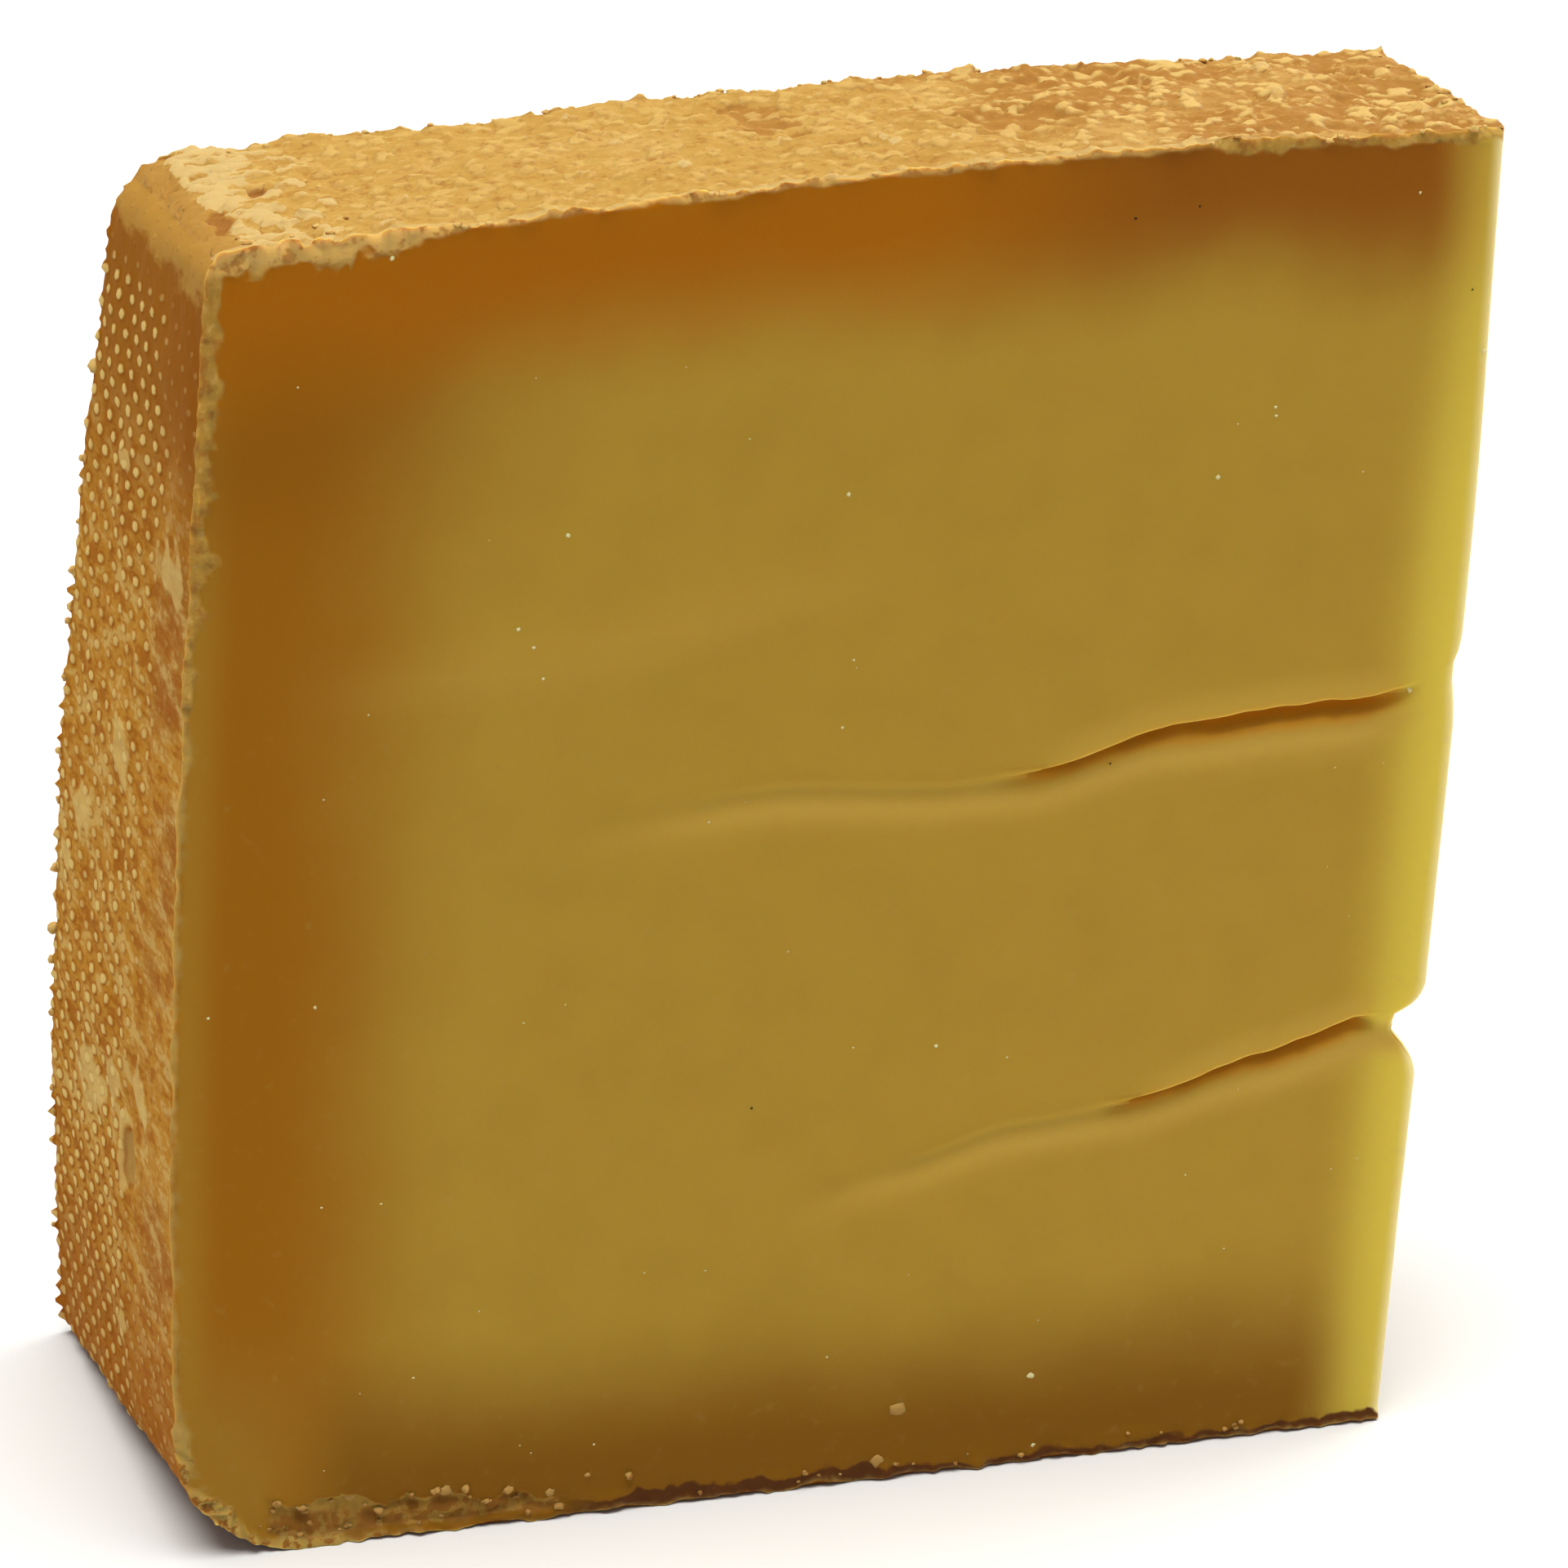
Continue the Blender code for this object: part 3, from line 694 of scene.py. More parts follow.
    def crumble_edges(self, spot):
        """The crumbly cut section of the rinds on the cut faces, and the torn strip of the front face."""
        point, marks, distance, height = spot.point, spot.marks, spot.distance, spot.height
        beside_rim, under_top, over_foot = self.crust_width(distance, height)
        ragged = 1.0 + 0.5 * wave(point, 2.6, 31.0) + 0.25 * wave(point, 0.9, 33.0)
        inside = max(beside_rim * ragged - distance, under_top * ragged - (spot.top - height),
                     over_foot * ragged - height)
        marks["crust"] = min(max(0.5 + inside, 0.0), 1.0)
        shown = max(smooth_step(24.0, 44.0, height), smooth_step(16.0, 10.0, height))
        if spot.on_front:
            point.y += smooth_step(0.2, 0.8, marks["crust"]) * shown * (0.3 * wave(point, 1.0, 37.0) - 0.08)
        ragged = wave(point, 2.6, 29.0) + 0.5 * wave(point, 0.9, 30.0)
        line_height = mix(1.5, 0.8, smooth_step(56.0, 62.0, distance)) * (1.0 + 0.45 * ragged)
        marks["foot_line"] = min(max(0.5 + 0.9 * (line_height - height), 0.0), 1.0)
        if spot.on_front:
            torn_share = mix(1.05, 0.6, smooth_step(8.0, 33.0, distance))
            torn_top = self.relief.torn_height * torn_share + 0.5 * ragged
            hollow = smooth_step(torn_top, torn_top - 0.3, height) * smooth_step(0.3, 1.2, height)
            marks["torn"] = hollow * span_strength(TORN_SPAN, distance)
            point.y += self.relief.torn_depth * marks["torn"] * (0.75 + 0.6 * wave(point, 1.3, 71.0))
            if height < 3.0:
                fringe = smooth_step(3.0, 0.0, height) * smooth_step(12.0, 18.0, distance)
                point.y += 0.3 * fringe * ragged
                point.z += 0.3 * fringe * (1.0 + wave(point, 3.4, 97.0))

    def tear_back(self, spot):
        """The torn back edge of the rinds: teeth at the cloth's rows on the rim, crags on the top."""
        point, distance, below_top = spot.point, spot.distance, spot.top - spot.height
        from_back = (1.0 - spot.inward) * self.sizes.depth_at_rim_above
        row = self.cloth_phases(point.y, spot.height)[1]
        tooth = max(0.0, 1.0 - ((row - round(row)) / 0.3) ** 2)
        tooth *= (0.5 + 0.5 * noise.cell(Vector((round(row) * 1.7, 3.0, 1.0)))) ** 1.6 * 1.3
        tooth *= 0.55 + 0.45 * wave(point, 4.0, 87.0)
        crag = max(0.0, noise.noise(Vector((point.x, spot.height, 5.0)) / 1.1)) ** 1.5 * 1.6
        spike = self.relief.spike_height * (tooth if spot.on_rim or distance < TORN_BACK else crag)
        near_back = max(0.0, 1.0 - from_back / 0.9)
        if spot.on_rim or (spot.on_back and distance < TORN_BACK):
            point.x -= spike * near_back * max(0.0, 1.0 - distance / TORN_BACK)
        if spot.on_top or (spot.on_back and below_top < TORN_BACK):
            point.z += 0.6 * spike * near_back * max(0.0, 1.0 - below_top / TORN_BACK)

    def round_arrises(self, spot):
        """The rounded arrises of the wheel and of the cut faces."""
        sizes, point, inward = self.sizes, spot.point, spot.inward
        rim = sizes.rim_lean * spot.share_up + sizes.back_shift_at_rim * inward
        foot_radius = mix(sizes.foot_arris_front, sizes.foot_arris_back, inward)
        top_radius = mix(sizes.top_arris_front, sizes.top_arris_back, inward)
        self.round_arris(point, rim, 0.0, foot_radius, True)
        self.round_arris(point, rim, spot.top, top_radius, False)
        if spot.on_front or spot.on_cut:
            from_front = inward * sizes.depth_at_cut_above
            short = sizes.cut_arris - spot.from_cut, sizes.cut_arris - from_front
            if min(short) > 0.0:
                scale = max(short) / math.hypot(*short)
                point.x -= sizes.cut_arris - short[0] * scale - spot.from_cut
                point.y += sizes.cut_arris - short[1] * scale - from_front
        point.z = max(point.z, 0.0)

    def lattice_row(self, height, heights, top):
        """The lattice share whose row stands at a height, the reverse of bent_height."""
        for (row_low, low), (row_high, high) in self.row_stops(heights, top):
            if height <= high:
                return mix(row_low, row_high, (height - low) / (high - low))
        return 1.0

    def front_place(self, along, height):
        """A finished place of the front face, from its distance to the lower corner and its height."""
        sizes = self.sizes
        share_up = height / self.top_height(along / sizes.width_below)
        left = sizes.rim_lean * share_up
        right = mix(sizes.width_below, sizes.rim_lean + sizes.width_above, share_up)
        across = min(max((along - left) / (right - left), 0.0), 1.0)
        heights = self.crack_heights(across * sizes.width_below)
        up = self.lattice_row(height, heights, self.top_height(across))
        return self.place(Vector((across, 0.0, up)))[0]

    def rim_place(self, inward, height):
        """A finished place of the rim, from the share of its depth and its height."""
        up = self.lattice_row(height, self.crack_heights(0.0), self.top_height(0.0))
        return self.place(Vector((0.0, inward, up)))[0]

    def top_place(self, distance, inward):
        """A finished place of the top rind, from its distance to the rim and the share of its depth."""
        return self.place(Vector((distance / self.sizes.width_below, inward, 1.0)))[0]


def refine(block, form, rounds):
    """Halves the edges, round by round, wherever the faces are larger than wanted."""
    sizes = form.sizes
    scale = Vector((sizes.width_below, sizes.depth_at_rim_above, sizes.height_at_rim))
    for _ in range(rounds):
        edges = set()
        for face in block.faces:
            centre = face.calc_center_median()
            step = form.wanted_step(centre, form.side_of(centre))
            for edge in face.edges:
                span = edge.verts[0].co - edge.verts[1].co
                if Vector((span.x * scale.x, span.y * scale.y, span.z * scale.z)).length > EDGE_SLACK * step:
                    edges.add(edge)
        ordered = sorted(edges, key=lambda edge: edge.index)
        bmesh.ops.subdivide_edges(block, edges=ordered, cuts=1, use_grid_fill=True)
        block.edges.index_update()


def add_node(tree, kind, settings=None, links=None, output=0):
    """Adds a node, sets its values or properties, links its inputs and gives one of its outputs."""
    node = tree.nodes.new("ShaderNode" + kind)
    for key, value in (settings or {}).items():
        if isinstance(key, int) or key in node.inputs:
            node.inputs[key].default_value = value
        else:
            setattr(node, key, value)
    for key, source in (links or {}).items():
        tree.links.new(node.inputs[key], source)
    return node.outputs[output]


def new_material(name, shader_settings):
    """A material with its Principled BSDF, and the surface's own coordinates."""
    material = bpy.data.materials.new(name)
    material.use_nodes = True
    tree = material.node_tree
    shader = tree.nodes["Principled BSDF"]
    for key, value in shader_settings.items():
        shader.inputs[key].default_value = value
    return material, tree, shader, add_node(tree, "TexCoord", None, None, "Object")


def rgba(colour_value):
    return (*colour_value, 1.0)


def per_metre(millimetres):
    """Scale of a texture whose features are this far apart."""
    return 1.0 / (millimetres * MM)


def near(tree, mark, full, gone, strength=1.0, sway=None):
    """A share that is full up to a distance of an edge and gone beyond another, in mm. A texture sways it."""
    distance = add_node(tree, "Attribute", {"attribute_name": mark}, None, "Fac")
    if sway:
        distance = add_node(tree, "Math", {"operation": "ADD"}, {0: distance, 1: sway})
    return add_node(tree, "MapRange", {"interpolation_type": "SMOOTHSTEP", "From Min": full, "From Max": gone,
                                       "To Min": strength, "To Max": 0.0}, {"Value": distance})


def broken_edge(tree, field, low, high, texture, strength, most=1.0):
    """A soft field turned into a share with a crisp edge that a texture breaks up."""
    uneven = add_node(tree, "Math", {"operation": "MULTIPLY_ADD", 1: strength, 2: -0.5 * strength},
                      {0: texture})
    total = add_node(tree, "Math", {"operation": "ADD"}, {0: field, 1: uneven})
    return add_node(tree, "MapRange", {"interpolation_type": "SMOOTHSTEP", "From Min": low, "From Max": high,
                                       "To Max": most}, {"Value": total})


def painted(tree, base, layers):
    """A base colour with layers laid over it: each is a colour and the shares whose product shows it.

    A share is an output, or the values for near (a mark first) or broken_edge (a field first).
    """
    for layer, *shares in layers:
        shown = None
        for share in shares:
            if isinstance(share, tuple):
                share = (near if isinstance(share[0], str) else broken_edge)(tree, *share)
            if shown:
                share = add_node(tree, "Math", {"operation": "MULTIPLY"}, {0: shown, 1: share})
            shown = share
        settings, links = {"data_type": "RGBA"}, {0: shown}
        for socket, value in ((6, base), (7, layer)):
            if isinstance(value, bpy.types.NodeSocket):
                links[socket] = value
            else:
                settings[socket] = rgba(value)
        base = add_node(tree, "Mix", settings, links, 2)
    return base


def link_surface(tree, shader, tone, height, strength, distance):
    """Links a material's colour and its bump, of a strength and a height in millimetres."""
    bump = add_node(tree, "Bump", {"Strength": strength, "Distance": distance * MM}, {"Height": height})
    tree.links.new(shader.inputs["Base Color"], tone)
    tree.links.new(shader.inputs["Normal"], bump)


def paste_material(colours):
    """Aged cheese paste, cut with a wire: smooth, waxy, a little see-through, amber towards the rinds."""
    material, tree, shader, coordinates = new_material("cut_cheese_paste", {
        "Roughness": 0.5, "IOR": CHEESE_IOR, "Subsurface Weight": 1.0, "Subsurface Radius": (1.0, 0.62, 0.16),
        "Subsurface Scale": 0.9 * MM, "Specular IOR Level": 0.06})
    broad, cloudy, crumbly, grain = [
        add_node(tree, "TexNoise", {"Scale": per_metre(size), "Detail": detail}, {"Vector": coordinates})
        for size, detail in ((16.0, 3.0), (5.0, 2.0), (1.4, 3.0), (0.6, 4.0))]
    crust, foot_line, torn, fold, slit = [
        add_node(tree, "Attribute", {"attribute_name": mark}, None, "Fac")
        for mark in ("crust", "foot_line", "torn", "fold", "slit")]
    sway = add_node(tree, "Math", {"operation": "MULTIPLY_ADD", 1: 7.0, 2: -3.5}, {0: broad})
    right_side = near(tree, "from_cut", 24.0, 50.0, 1.0, sway)
    top_tone = painted(tree, colours.top_amber, [(colours.top_brown, right_side)])
    patchy = add_node(tree, "MapRange", {"From Min": 0.4, "From Max": 0.75, "To Max": 0.35},
                      {"Value": cloudy})
    crust_tone = painted(tree, colours.crust, [
        (colours.crust_pale, ("from_top", 0.8, 2.4), ("from_rim", 14.0, 24.0)),
        (colours.crust_pale, ("from_top", 0.2, 0.9, 0.8), ("from_cut", 34.0, 24.0)),
        (colours.crust_pale, (crumbly, 0.46, 0.36, grain, 0.4, 0.45)),
        (colours.crust_dark, (crumbly, 0.5, 0.66, grain, 0.6, 0.7))])
    crust_shown = broken_edge(tree, crust, 0.3, 0.75, crumbly, 0.5)
    torn_tone = painted(tree, colours.torn, [
        (colours.crust, (crumbly, 0.5, 0.62, grain, 0.6, 0.6)),
        (colours.crust, ("from_foot", 3.2, 2.4, 0.8))])
    tone = painted(tree, colours.heart, [
        (colours.heart_dull, patchy),
        # Amber and brown towards the rinds: partly the paste's own drier zone, partly painted shade where less
        # light passes through the paste next to a rind.
        (colours.rim_amber, ("from_rim", 6.0, 23.0, 1.0, sway)),
        (colours.heart, ("from_rim", 0.8, 4.0, 0.4)),
        (colours.corner_amber, ("from_rim", 9.0, 33.0, 1.0, sway), ("from_top", 14.0, 30.0, 0.65, sway)),
        (top_tone, ("from_top", 4.0, 15.5, 1.0, sway)),
        (colours.foot_brown, ("from_foot", 4.0, 19.0, 1.0, sway), ("from_rim", 15.0, 7.0)),
        (colours.corner_olive, ("from_foot", 8.0, 22.0, 1.0, sway), ("from_rim", 4.0, 14.0)),
        # Painted glow of light through the thin paste at the right arris, higher up too, and a near-white
        # painted highlight right on the arris.
        (colours.glow, ("from_arris", 0.0, 6.5, 0.6)),
        (colours.glow, ("from_arris", 0.5, 9.0, 0.6), ("from_foot", 76.0, 104.0)),
        (colours.thin_edge, ("from_arris", 0.0, 1.5, 0.75)),
        # Painted highlight beside the folds and cracks.
        (colours.fold_pale, fold),
        # Painted shade of the cracks and of the shadow below their lips.
        (colours.cavity, slit),
        (torn_tone, (torn, 0.25, 0.6, grain, 0.4)),
        (colours.foot_line, (foot_line, 0.4, 0.75, crumbly, 0.5), ("from_rim", 36.0, 29.0)),
        # Painted shade: a thin amber line at the rim's arris, darker to hold back the light that shines
        # through the paste there.
        (colours.rim_amber, ("from_rim", 0.1, 0.8, 0.8)),
        (crust_tone, crust_shown, ("from_top", 44.0, 70.0, 0.85)),
        (colours.crust_edge, (crust, 0.1, 1.0, crumbly, 1.4), ("from_foot", 60.0, 80.0, 0.8)),
        (colours.torn, (crust, 0.2, 0.9, crumbly, 0.6),
         (grain, 0.5, 0.62, crumbly, 0.8), ("from_foot", 8.0, 12.0))])
    rough = add_node(tree, "Math", {"operation": "MULTIPLY_ADD", 1: 2.0, 2: 0.15}, {0: crust_shown})
    raised = add_node(tree, "Math", {"operation": "MULTIPLY"}, {0: grain, 1: rough})
    link_surface(tree, shader, tone, raised, 0.8, 0.05)
    return material


def cloth_pattern(tree, relief):
    """How far a place lies inside a cloth mark, from the rim's phases: 1 in its middle, below 0 outside."""
    offsets = []
    for phase in ("cloth_column", "cloth_row"):
        value = add_node(tree, "Attribute", {"attribute_name": phase}, None, "Fac")
        whole = add_node(tree, "Math", {"operation": "ROUND"}, {0: value})
        offsets.append(add_node(tree, "Math", {"operation": "SUBTRACT"}, {0: value, 1: whole}))
    column, row = offsets
    lean = add_node(tree, "Math", {"operation": "MULTIPLY", 1: relief.cloth_shift / relief.mark_length},
                    {0: row})
    along = add_node(tree, "Math", {"operation": "MULTIPLY_ADD", 1: relief.cloth_column / relief.mark_length},
                     {0: column, 2: lean})
    up = add_node(tree, "Math", {"operation": "MULTIPLY", 1: relief.cloth_row / relief.mark_width}, {0: row})
    place = add_node(tree, "CombineXYZ", None, {0: along, 1: up})
    size = add_node(tree, "VectorMath", {"operation": "LENGTH"}, {0: place}, "Value")
    return add_node(tree, "Math", {"operation": "SUBTRACT", 0: 1.0}, {1: size})


def rim_material(colours, relief):
    """Washed rind pressed in cloth: matt orange brown, pale raised marks in rings of painted shadow, smooth
    beside the cut.
    """
    material, tree, shader, coordinates = new_material("cloth_marked_rind", {
        "Roughness": 0.66, "IOR": CHEESE_IOR, "Subsurface Weight": 0.5, "Subsurface Radius": (1.0, 0.5, 0.2),
        "Subsurface Scale": 0.4 * MM, "Specular IOR Level": 0.01})
    flat = add_node(tree, "Mapping", {"Scale": (1.0, 0.4, 1.0)}, {"Vector": coordinates})
    patches, spots, grain = [
        add_node(tree, "TexNoise", {"Scale": per_metre(size), "Detail": 4.0, "Roughness": rough},
                 {"Vector": flat})
        for size, rough in ((6.0, 0.6), (1.8, 0.6), (0.5, 0.5))]
    clear, smear, scar = [add_node(tree, "Attribute", {"attribute_name": mark}, None, "Fac")
                          for mark in ("cloth", "smear", "scar")]
    shown = add_node(tree, "Math", {"operation": "MULTIPLY_ADD", 1: 0.4, 2: -0.4}, {0: clear})
    inside = add_node(tree, "Math", {"operation": "ADD"}, {0: cloth_pattern(tree, relief), 1: shown})
    marks = broken_edge(tree, inside, 0.0, 0.4, spots, 0.5)
    gap_and_shadow_ring = broken_edge(tree, inside, -0.45, -0.1, grain, 0.3, 0.7)
    border = add_node(tree, "Math", {"operation": "MULTIPLY_ADD", 1: 5.0, 2: -2.5}, {0: spots})
    tone = painted(tree, colours.rim_base, [
        (colours.rim_pink, ("from_front", 7.0, 12.0), (patches, 0.4, 0.6, spots, 0.3)),
        (colours.rim_mark, (spots, 0.5, 0.64, grain, 0.4, 0.5), ("from_foot", 82.0, 92.0)),
        (colours.rim_red, (spots, 0.48, 0.38, grain, 0.4, 0.7), ("from_foot", 88.0, 98.0)),
        # Rings around the raised marks: the reddish gaps with painted shadow at the marks' edges, stronger
        # lower down.
        (colours.rim_red, gap_and_shadow_ring, clear),
        (colours.rim_red, gap_and_shadow_ring, clear, ("from_foot", 20.0, 34.0)),
        (colours.rim_dark, ("from_top", 6.0, 34.0, 0.85)),
        (colours.rim_dark, ("from_top", 9.0, 30.0), ("from_front", 1.0, 7.0, 0.8)),
        (colours.rim_red, ("from_foot", 3.0, 26.0, 0.7)),
        (colours.rim_mark, marks, clear),
        (colours.rim_red, ("from_foot", 2.0, 20.0, 0.35)),
        (colours.rim_mark, (smear, 0.3, 0.9, spots, 1.3, 0.6)),
        (colours.rim_dark, (scar, 0.15, 0.5, spots, 0.4, 0.6)),
        (colours.rim_scar, (scar, 0.6, 0.9, spots, 0.5)),
        (colours.arris_tan, ("from_top", 3.0, 4.4, 1.0, border)),
        (colours.foot_rind, ("from_foot", -0.2, 0.3))])
    worked = add_node(tree, "Math", {"operation": "MULTIPLY_ADD", 1: 0.5}, {0: spots, 2: marks})
    raised = add_node(tree, "Math", {"operation": "MULTIPLY_ADD", 1: 0.4}, {0: grain, 2: worked})
    link_surface(tree, shader, tone, raised, 0.5, 0.1)
    return material


def top_material(colours):
    """Dry flaky rind: matt gold with pale flakes, browner to the right, ragged and cream towards the rim."""
    material, tree, shader, coordinates = new_material("flaky_top_rind", {
        "Roughness": 0.7, "IOR": CHEESE_IOR, "Subsurface Weight": 0.5, "Subsurface Radius": (1.0, 0.55, 0.2),
        "Subsurface Scale": 0.4 * MM, "Specular IOR Level": 0.12})
    patches, spots, grain = [
        add_node(tree, "TexNoise", {"Scale": per_metre(size), "Detail": 4.0, "Roughness": rough},
                 {"Vector": coordinates})
        for size, rough in ((9.0, 0.6), (1.5, 0.65), (0.45, 0.5))]
    flake, stain, cream = [add_node(tree, "Attribute", {"attribute_name": mark}, None, "Fac")
                           for mark in ("flake", "stain", "cream")]
    sway = add_node(tree, "Math", {"operation": "MULTIPLY_ADD", 1: 50.0, 2: -25.0}, {0: patches})
    to_right = near(tree, "from_cut", 26.0, 52.0, 1.0, sway)
    flakes = broken_edge(tree, flake, -0.35, 0.5, spots, 0.4)
    flake_strength = add_node(tree, "MapRange", {"To Min": 0.45, "To Max": 0.85}, {"Value": to_right})
    tone = painted(tree, colours.top_gold, [
        (colours.top_brown, to_right),
        (colours.top_pale, (patches, 0.5, 0.66, spots, 0.5, 0.6)),
        (colours.top_brown, (spots, 0.52, 0.66, grain, 0.4, 0.75)),
        (colours.top_pale, (spots, 0.45, 0.33, grain, 0.3, 0.7)),
        (colours.top_brown, (stain, 0.3, 0.75, spots, 0.8, 0.85)),
        (colours.top_flake, flakes, flake_strength, ("from_rim", 8.0, 3.0)),
        (colours.arris_tan, ("from_rim", 2.2, 3.4)),
        (colours.top_cream, (cream, 0.45, 0.7, spots, 2.4)),
        (colours.top_stain, (stain, 0.6, 0.95, spots, 0.5, 0.8), ("from_rim", 12.0, 20.0)),
        (colours.top_cream, (near(tree, "from_front", 0.1, 1.2), 0.4, 0.65, spots, 0.8, 0.8),
         ("from_cut", 30.0, 10.0, 0.75))])
    worked = add_node(tree, "Math", {"operation": "MULTIPLY_ADD", 1: 0.8}, {0: spots, 2: flakes})
    raised = add_node(tree, "Math", {"operation": "MULTIPLY_ADD", 1: 0.7}, {0: grain, 2: worked})
    link_surface(tree, shader, tone, raised, 0.9, 0.14)
    return material


def grain_material(name, colour_value, darker):
    """Dry broken cheese in small grains: matt, paler and darker from spot to spot."""
    material, tree, shader, coordinates = new_material(name, {
        "Roughness": 0.7, "IOR": CHEESE_IOR, "Subsurface Weight": 0.5, "Subsurface Scale": 0.5 * MM,
        "Specular IOR Level": 0.12})
    spots = add_node(tree, "TexNoise", {"Scale": per_metre(0.8), "Detail": 3.0}, {"Vector": coordinates})
    tone = painted(tree, colour_value, [(darker, (spots, 0.45, 0.65, spots, 0.2, 0.8))])
    tree.links.new(shader.inputs["Base Color"], tone)
    return material


def add_grain(block, centre, radii, random_source):
    """Adds an uneven grain to a mesh: its middle and its three half sizes in millimetres."""
    made = bmesh.ops.create_icosphere(block, subdivisions=2, radius=1.0)
    shift = Vector((random_source.uniform(0.0, 99.0), random_source.uniform(0.0, 99.0), 0.0))
    for vertex in made["verts"]:
        direction = vertex.co.normalized()
        lump = 1.0 + 0.55 * noise.noise(direction * 1.4 + shift)
        vertex.co = (centre + Vector([axis * half * lump for axis, half in zip(direction, radii)])) * MM


def finish_piece(name, block, material):
    """Turns a finished mesh into a piece with its substance, body and slot."""
    for face in block.faces:
        face.smooth = True
    bmesh.ops.recalc_face_normals(block, faces=block.faces)
    mesh = bpy.data.meshes.new(name)
    block.to_mesh(mesh)
    block.free()
    mesh.materials.append(material)
    piece = bpy.data.objects.new(name, mesh)
    bpy.context.scene.collection.objects.link(piece)
    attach(piece, BODY)
    return piece


def cheese_form(scene):
    """The form of the cheese with the scene's sizes."""
    return CheeseForm(in_millimetres(scene.cheese_block), in_millimetres(scene.cheese_relief))


class CHEESE_OT_add_block(bpy.types.Operator):
    """Add the block of cheese with its rinds, cracks and cut faces"""

    bl_idname = "cheese.add_block"
    bl_label = "Add block"

    def execute(self, context):
        form = cheese_form(context.scene)
        sizes, step = form.sizes, form.sizes.coarse_step
        block = lattice_block(
            even_rows((0.0, sizes.width_below), step),
            even_rows((0.0, sizes.depth_at_rim_above), step),
            even_rows((0.0, LOWER_CRACK[2][1], UPPER_CRACK[2][1], sizes.height_at_rim), step))
        refine(block, form, ROUNDS)
        slots = {form.RIM: 1, form.FOOT: 1, form.TOP: 2}
        for face in block.faces:
            face.material_index = slots.get(form.side_of(face.calc_center_median()), 0)
        values = {}
        for vertex in block.verts:
            point, marks = form.place(vertex.co.copy())
            vertex.co = (point + sizes.corner) * MM
            for name, value in marks.items():
                values.setdefault(name, []).append(value)
        piece = finish_piece("cheese_block", block, paste_material(context.scene.cheese_paste))
        for name, numbers in values.items():
            piece.data.attributes.new(name, "FLOAT", "POINT").data.foreach_set("value", numbers)
        piece.data.set_sharp_from_angle(angle=SHARP_ANGLE)
        piece.data.materials.append(rim_material(context.scene.cheese_rind, form.relief))
        piece.data.materials.append(top_material(context.scene.cheese_rind))
        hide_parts(NODE)
        return {"FINISHED"}


class CHEESE_OT_add_crumbs(bpy.types.Operator):
    """Add the crumbs that cling to the torn edges of the rinds"""

    bl_idname = "cheese.add_crumbs"
    bl_label = "Add crumbs"

    def execute(self, context):
        form = cheese_form(context.scene)
        colours = context.scene.cheese_rind
        settings = in_millimetres(context.scene.cheese_crumbs)
        chance = random.Random(settings.seed)
        upper = [(form.rim_place(1.0, height), size, 1.0) for height, size in BACK_CRUMBS]
        for _ in range(settings.top_count):
            inward = 1.0 if chance.random() < 0.6 else 0.0
            place = form.top_place(chance.uniform(*TOP_CRUMBS_ALONG), inward)
            upper.append((place, chance.uniform(*TOP_CRUMB_SIZES), 0.6))
        for _ in range(settings.corner_count):
            distance, inward = 3.0 + 9.0 * chance.random() ** 1.6, chance.random() ** 1.8
            upper.append((form.top_place(distance, inward), chance.uniform(*CORNER_CRUMB_SIZES), 0.6))
        for _ in range(settings.right_count):
            place = form.top_place(chance.uniform(*RIGHT_CRUMBS_ALONG), chance.random())
            upper.append((place, chance.uniform(*CORNER_CRUMB_SIZES), 0.6))
        lower = []
        for _ in range(settings.torn_count):
            distance = chance.uniform(TORN_SPAN[0], TORN_SPAN[3] + 4.0)
            place = form.front_place(distance, chance.uniform(*TORN_CRUMB_HEIGHTS))
            lower.append((place, chance.uniform(*TORN_CRUMB_SIZES), 0.8))
        for _ in range(settings.foot_count):
            distance, height = chance.uniform(*FOOT_CRUMBS_ALONG), chance.uniform(*FOOT_CRUMB_HEIGHTS)
            lower.append((form.front_place(distance, height), chance.uniform(*FOOT_CRUMB_SIZES), 0.8))
        for name, spots, substance, plain, darker in (
                ("rind_crumbs", upper, "crumbled_top_rind", colours.crumb, colours.crumb_dark),
                ("foot_crumbs", lower, "crumbled_foot_rind", colours.foot_crumb, colours.foot_crumb_dark)):
            crumbs = bmesh.new()
            for place, size, flatness in spots:
                radii = [size * chance.uniform(0.75, 1.3), size * chance.uniform(0.75, 1.3), size * flatness]
                middle = place + form.sizes.corner
                middle.z = max(middle.z, 1.1 * radii[2])
                add_grain(crumbs, middle, radii, chance)
            finish_piece(name, crumbs, grain_material(substance, plain, darker))
        return {"FINISHED"}


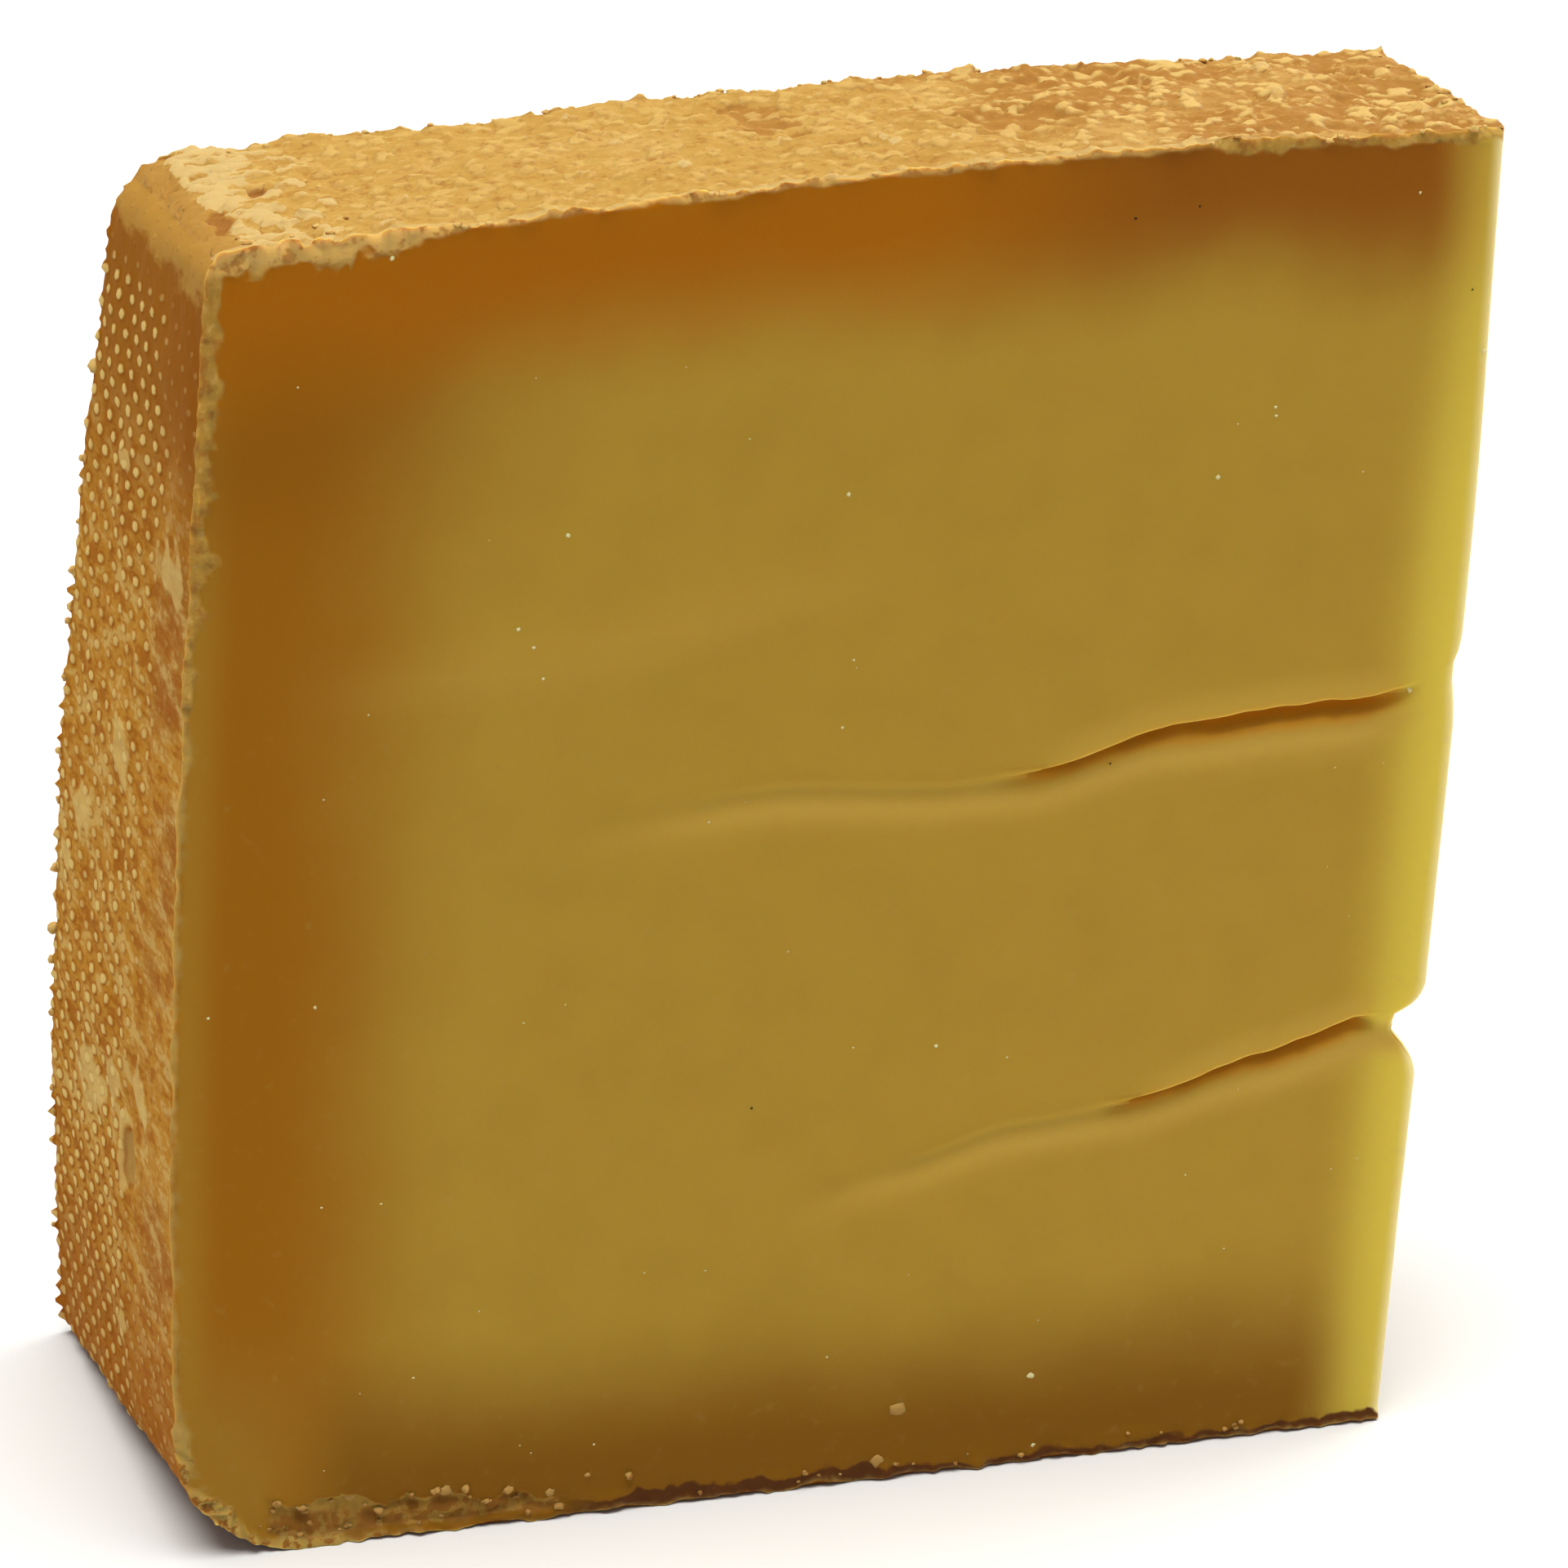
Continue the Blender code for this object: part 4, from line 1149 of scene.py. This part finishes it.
class CHEESE_OT_add_specks(bpy.types.Operator):
    """Add the pale crystals and the few dark specks on the front face"""

    bl_idname = "cheese.add_specks"
    bl_label = "Add specks"

    def execute(self, context):
        form = cheese_form(context.scene)
        colours = context.scene.cheese_rind
        settings = in_millimetres(context.scene.cheese_crumbs)
        chance = random.Random(settings.seed + 1)
        spans = TINY_SPECKS_ALONG, TINY_SPECK_HEIGHTS, TINY_SPECK_SIZES
        tiny = [tuple(chance.uniform(*span) for span in spans) for _ in range(settings.speck_count)]
        for name, spots, substance, plain in (
                ("pale_specks", (*PALE_SPECKS, *tiny), "cheese_crystals", colours.crystal),
                ("paste_flakes", PASTE_FLAKES, "torn_paste", colours.foot_crumb),
                ("dark_specks", DARK_SPECKS, "dark_grit", colours.grit)):
            specks = bmesh.new()
            for distance, height, size in spots:
                radii = (size * chance.uniform(0.8, 1.2), 0.12 * size + 0.06, size * chance.uniform(0.7, 1.1))
                add_grain(specks, form.front_place(distance, height) + form.sizes.corner, radii, chance)
            finish_piece(name, specks, grain_material(substance, plain, plain))
        return {"FINISHED"}


class CHEESE_OT_add_stage(bpy.types.Operator):
    """Add the floor, the soft studio light and the camera"""

    bl_idname = "cheese.add_stage"
    bl_label = "Add stage"

    def execute(self, context):
        look = context.scene.cheese_stage
        self.add_floor(context, look)
        self.add_lights(context, look)
        self.add_camera(context, look)
        context.scene.view_settings.view_transform = "Standard"
        return {"FINISHED"}

    def add_floor(self, context, look):
        """A wide matt floor."""
        material = new_material("matt_white_board", {
            "Base Color": rgba(look.floor), "Roughness": 0.9, "Specular IOR Level": 0.1})[0]
        form = bmesh.new()
        bmesh.ops.create_circle(form, cap_ends=True, radius=FLOOR_RADIUS, segments=64)
        mesh = bpy.data.meshes.new("floor")
        form.to_mesh(mesh)
        form.free()
        mesh.materials.append(material)
        floor = bpy.data.objects.new("floor", mesh)
        context.scene.collection.objects.link(floor)

    def add_lights(self, context, look):
        """An even sky, a wide soft light above and a soft box at the right, behind."""
        world = bpy.data.worlds.new("studio")
        world.use_nodes = True
        background = world.node_tree.nodes["Background"]
        background.inputs["Color"].default_value = rgba(look.sky)
        background.inputs["Strength"].default_value = look.sky_strength
        context.scene.world = world
        overhead = bpy.data.lights.new("overhead", "SUN")
        overhead.energy = look.overhead_strength
        overhead.angle = look.overhead_angle
        side = bpy.data.lights.new("side", "AREA")
        side.energy = look.side_power
        side.size = look.side_size
        for data, place in ((overhead, OVERHEAD_PLACE), (side, SIDE_PLACE)):
            light = bpy.data.objects.new(data.name, data)
            light.location = place
            light.rotation_euler = (CAD_MIDDLE - place).to_track_quat("-Z", "Y").to_euler()
            context.scene.collection.objects.link(light)

    def add_camera(self, context, look):
        """The photograph's viewing angle."""
        data = bpy.data.cameras.new("camera")
        data.lens = look.lens
        data.sensor_width = SENSOR_WIDTH
        camera = bpy.data.objects.new("camera", data)
        away = Vector((-math.sin(look.azimuth) * math.cos(look.elevation),
                       -math.cos(look.azimuth) * math.cos(look.elevation), math.sin(look.elevation)))
        right = Vector((math.cos(look.azimuth), -math.sin(look.azimuth), 0.0))
        up = away.cross(right)
        turned_right = right * math.cos(look.roll) - up * math.sin(look.roll)
        turned_up = right * math.sin(look.roll) + up * math.cos(look.roll)
        axes = Matrix((turned_right, turned_up, away)).transposed()
        place = Vector(look.target) + Vector(context.scene.cheese_block.corner) + away * look.distance
        camera.matrix_world = Matrix.Translation(place) @ axes.to_4x4()
        context.scene.collection.objects.link(camera)
        context.scene.camera = camera


class CHEESE_PT_panel(bpy.types.Panel):
    """Lists the steps that build the cheese"""

    bl_idname = "CHEESE_PT_panel"
    bl_label = "Mountain cheese"
    bl_space_type = "VIEW_3D"
    bl_region_type = "UI"
    bl_category = "Cheese"

    def draw(self, context):
        for operator in OPERATORS:
            self.layout.operator(operator.bl_idname)


SETTINGS = {"cheese_block": CheeseBlockSizes, "cheese_relief": CheeseReliefSizes,
            "cheese_paste": CheesePasteColours, "cheese_rind": CheeseRindColours,
            "cheese_crumbs": CheeseCrumbNumbers, "cheese_stage": CheeseStageLook}
OPERATORS = (CHEESE_OT_add_block, CHEESE_OT_add_crumbs, CHEESE_OT_add_specks, CHEESE_OT_add_stage)


def register():
    # a setting is named after its key
    for group in SETTINGS.values():
        for key, setting in group.__annotations__.items():
            setting.keywords["name"] = key.replace("_", " ").capitalize()
    for group in (*SETTINGS.values(), *OPERATORS, CHEESE_PT_panel):
        bpy.utils.register_class(group)
    for name, group in SETTINGS.items():
        setattr(bpy.types.Scene, name, PointerProperty(type=group))


def unregister():
    for name in SETTINGS:
        delattr(bpy.types.Scene, name)
    for group in reversed((*SETTINGS.values(), *OPERATORS, CHEESE_PT_panel)):
        bpy.utils.unregister_class(group)


def main():
    register()
    bpy.ops.cheese.add_block()
    bpy.ops.cheese.add_crumbs()
    bpy.ops.cheese.add_specks()
    bpy.ops.cheese.add_stage()


if __name__ == "__main__":
    main()
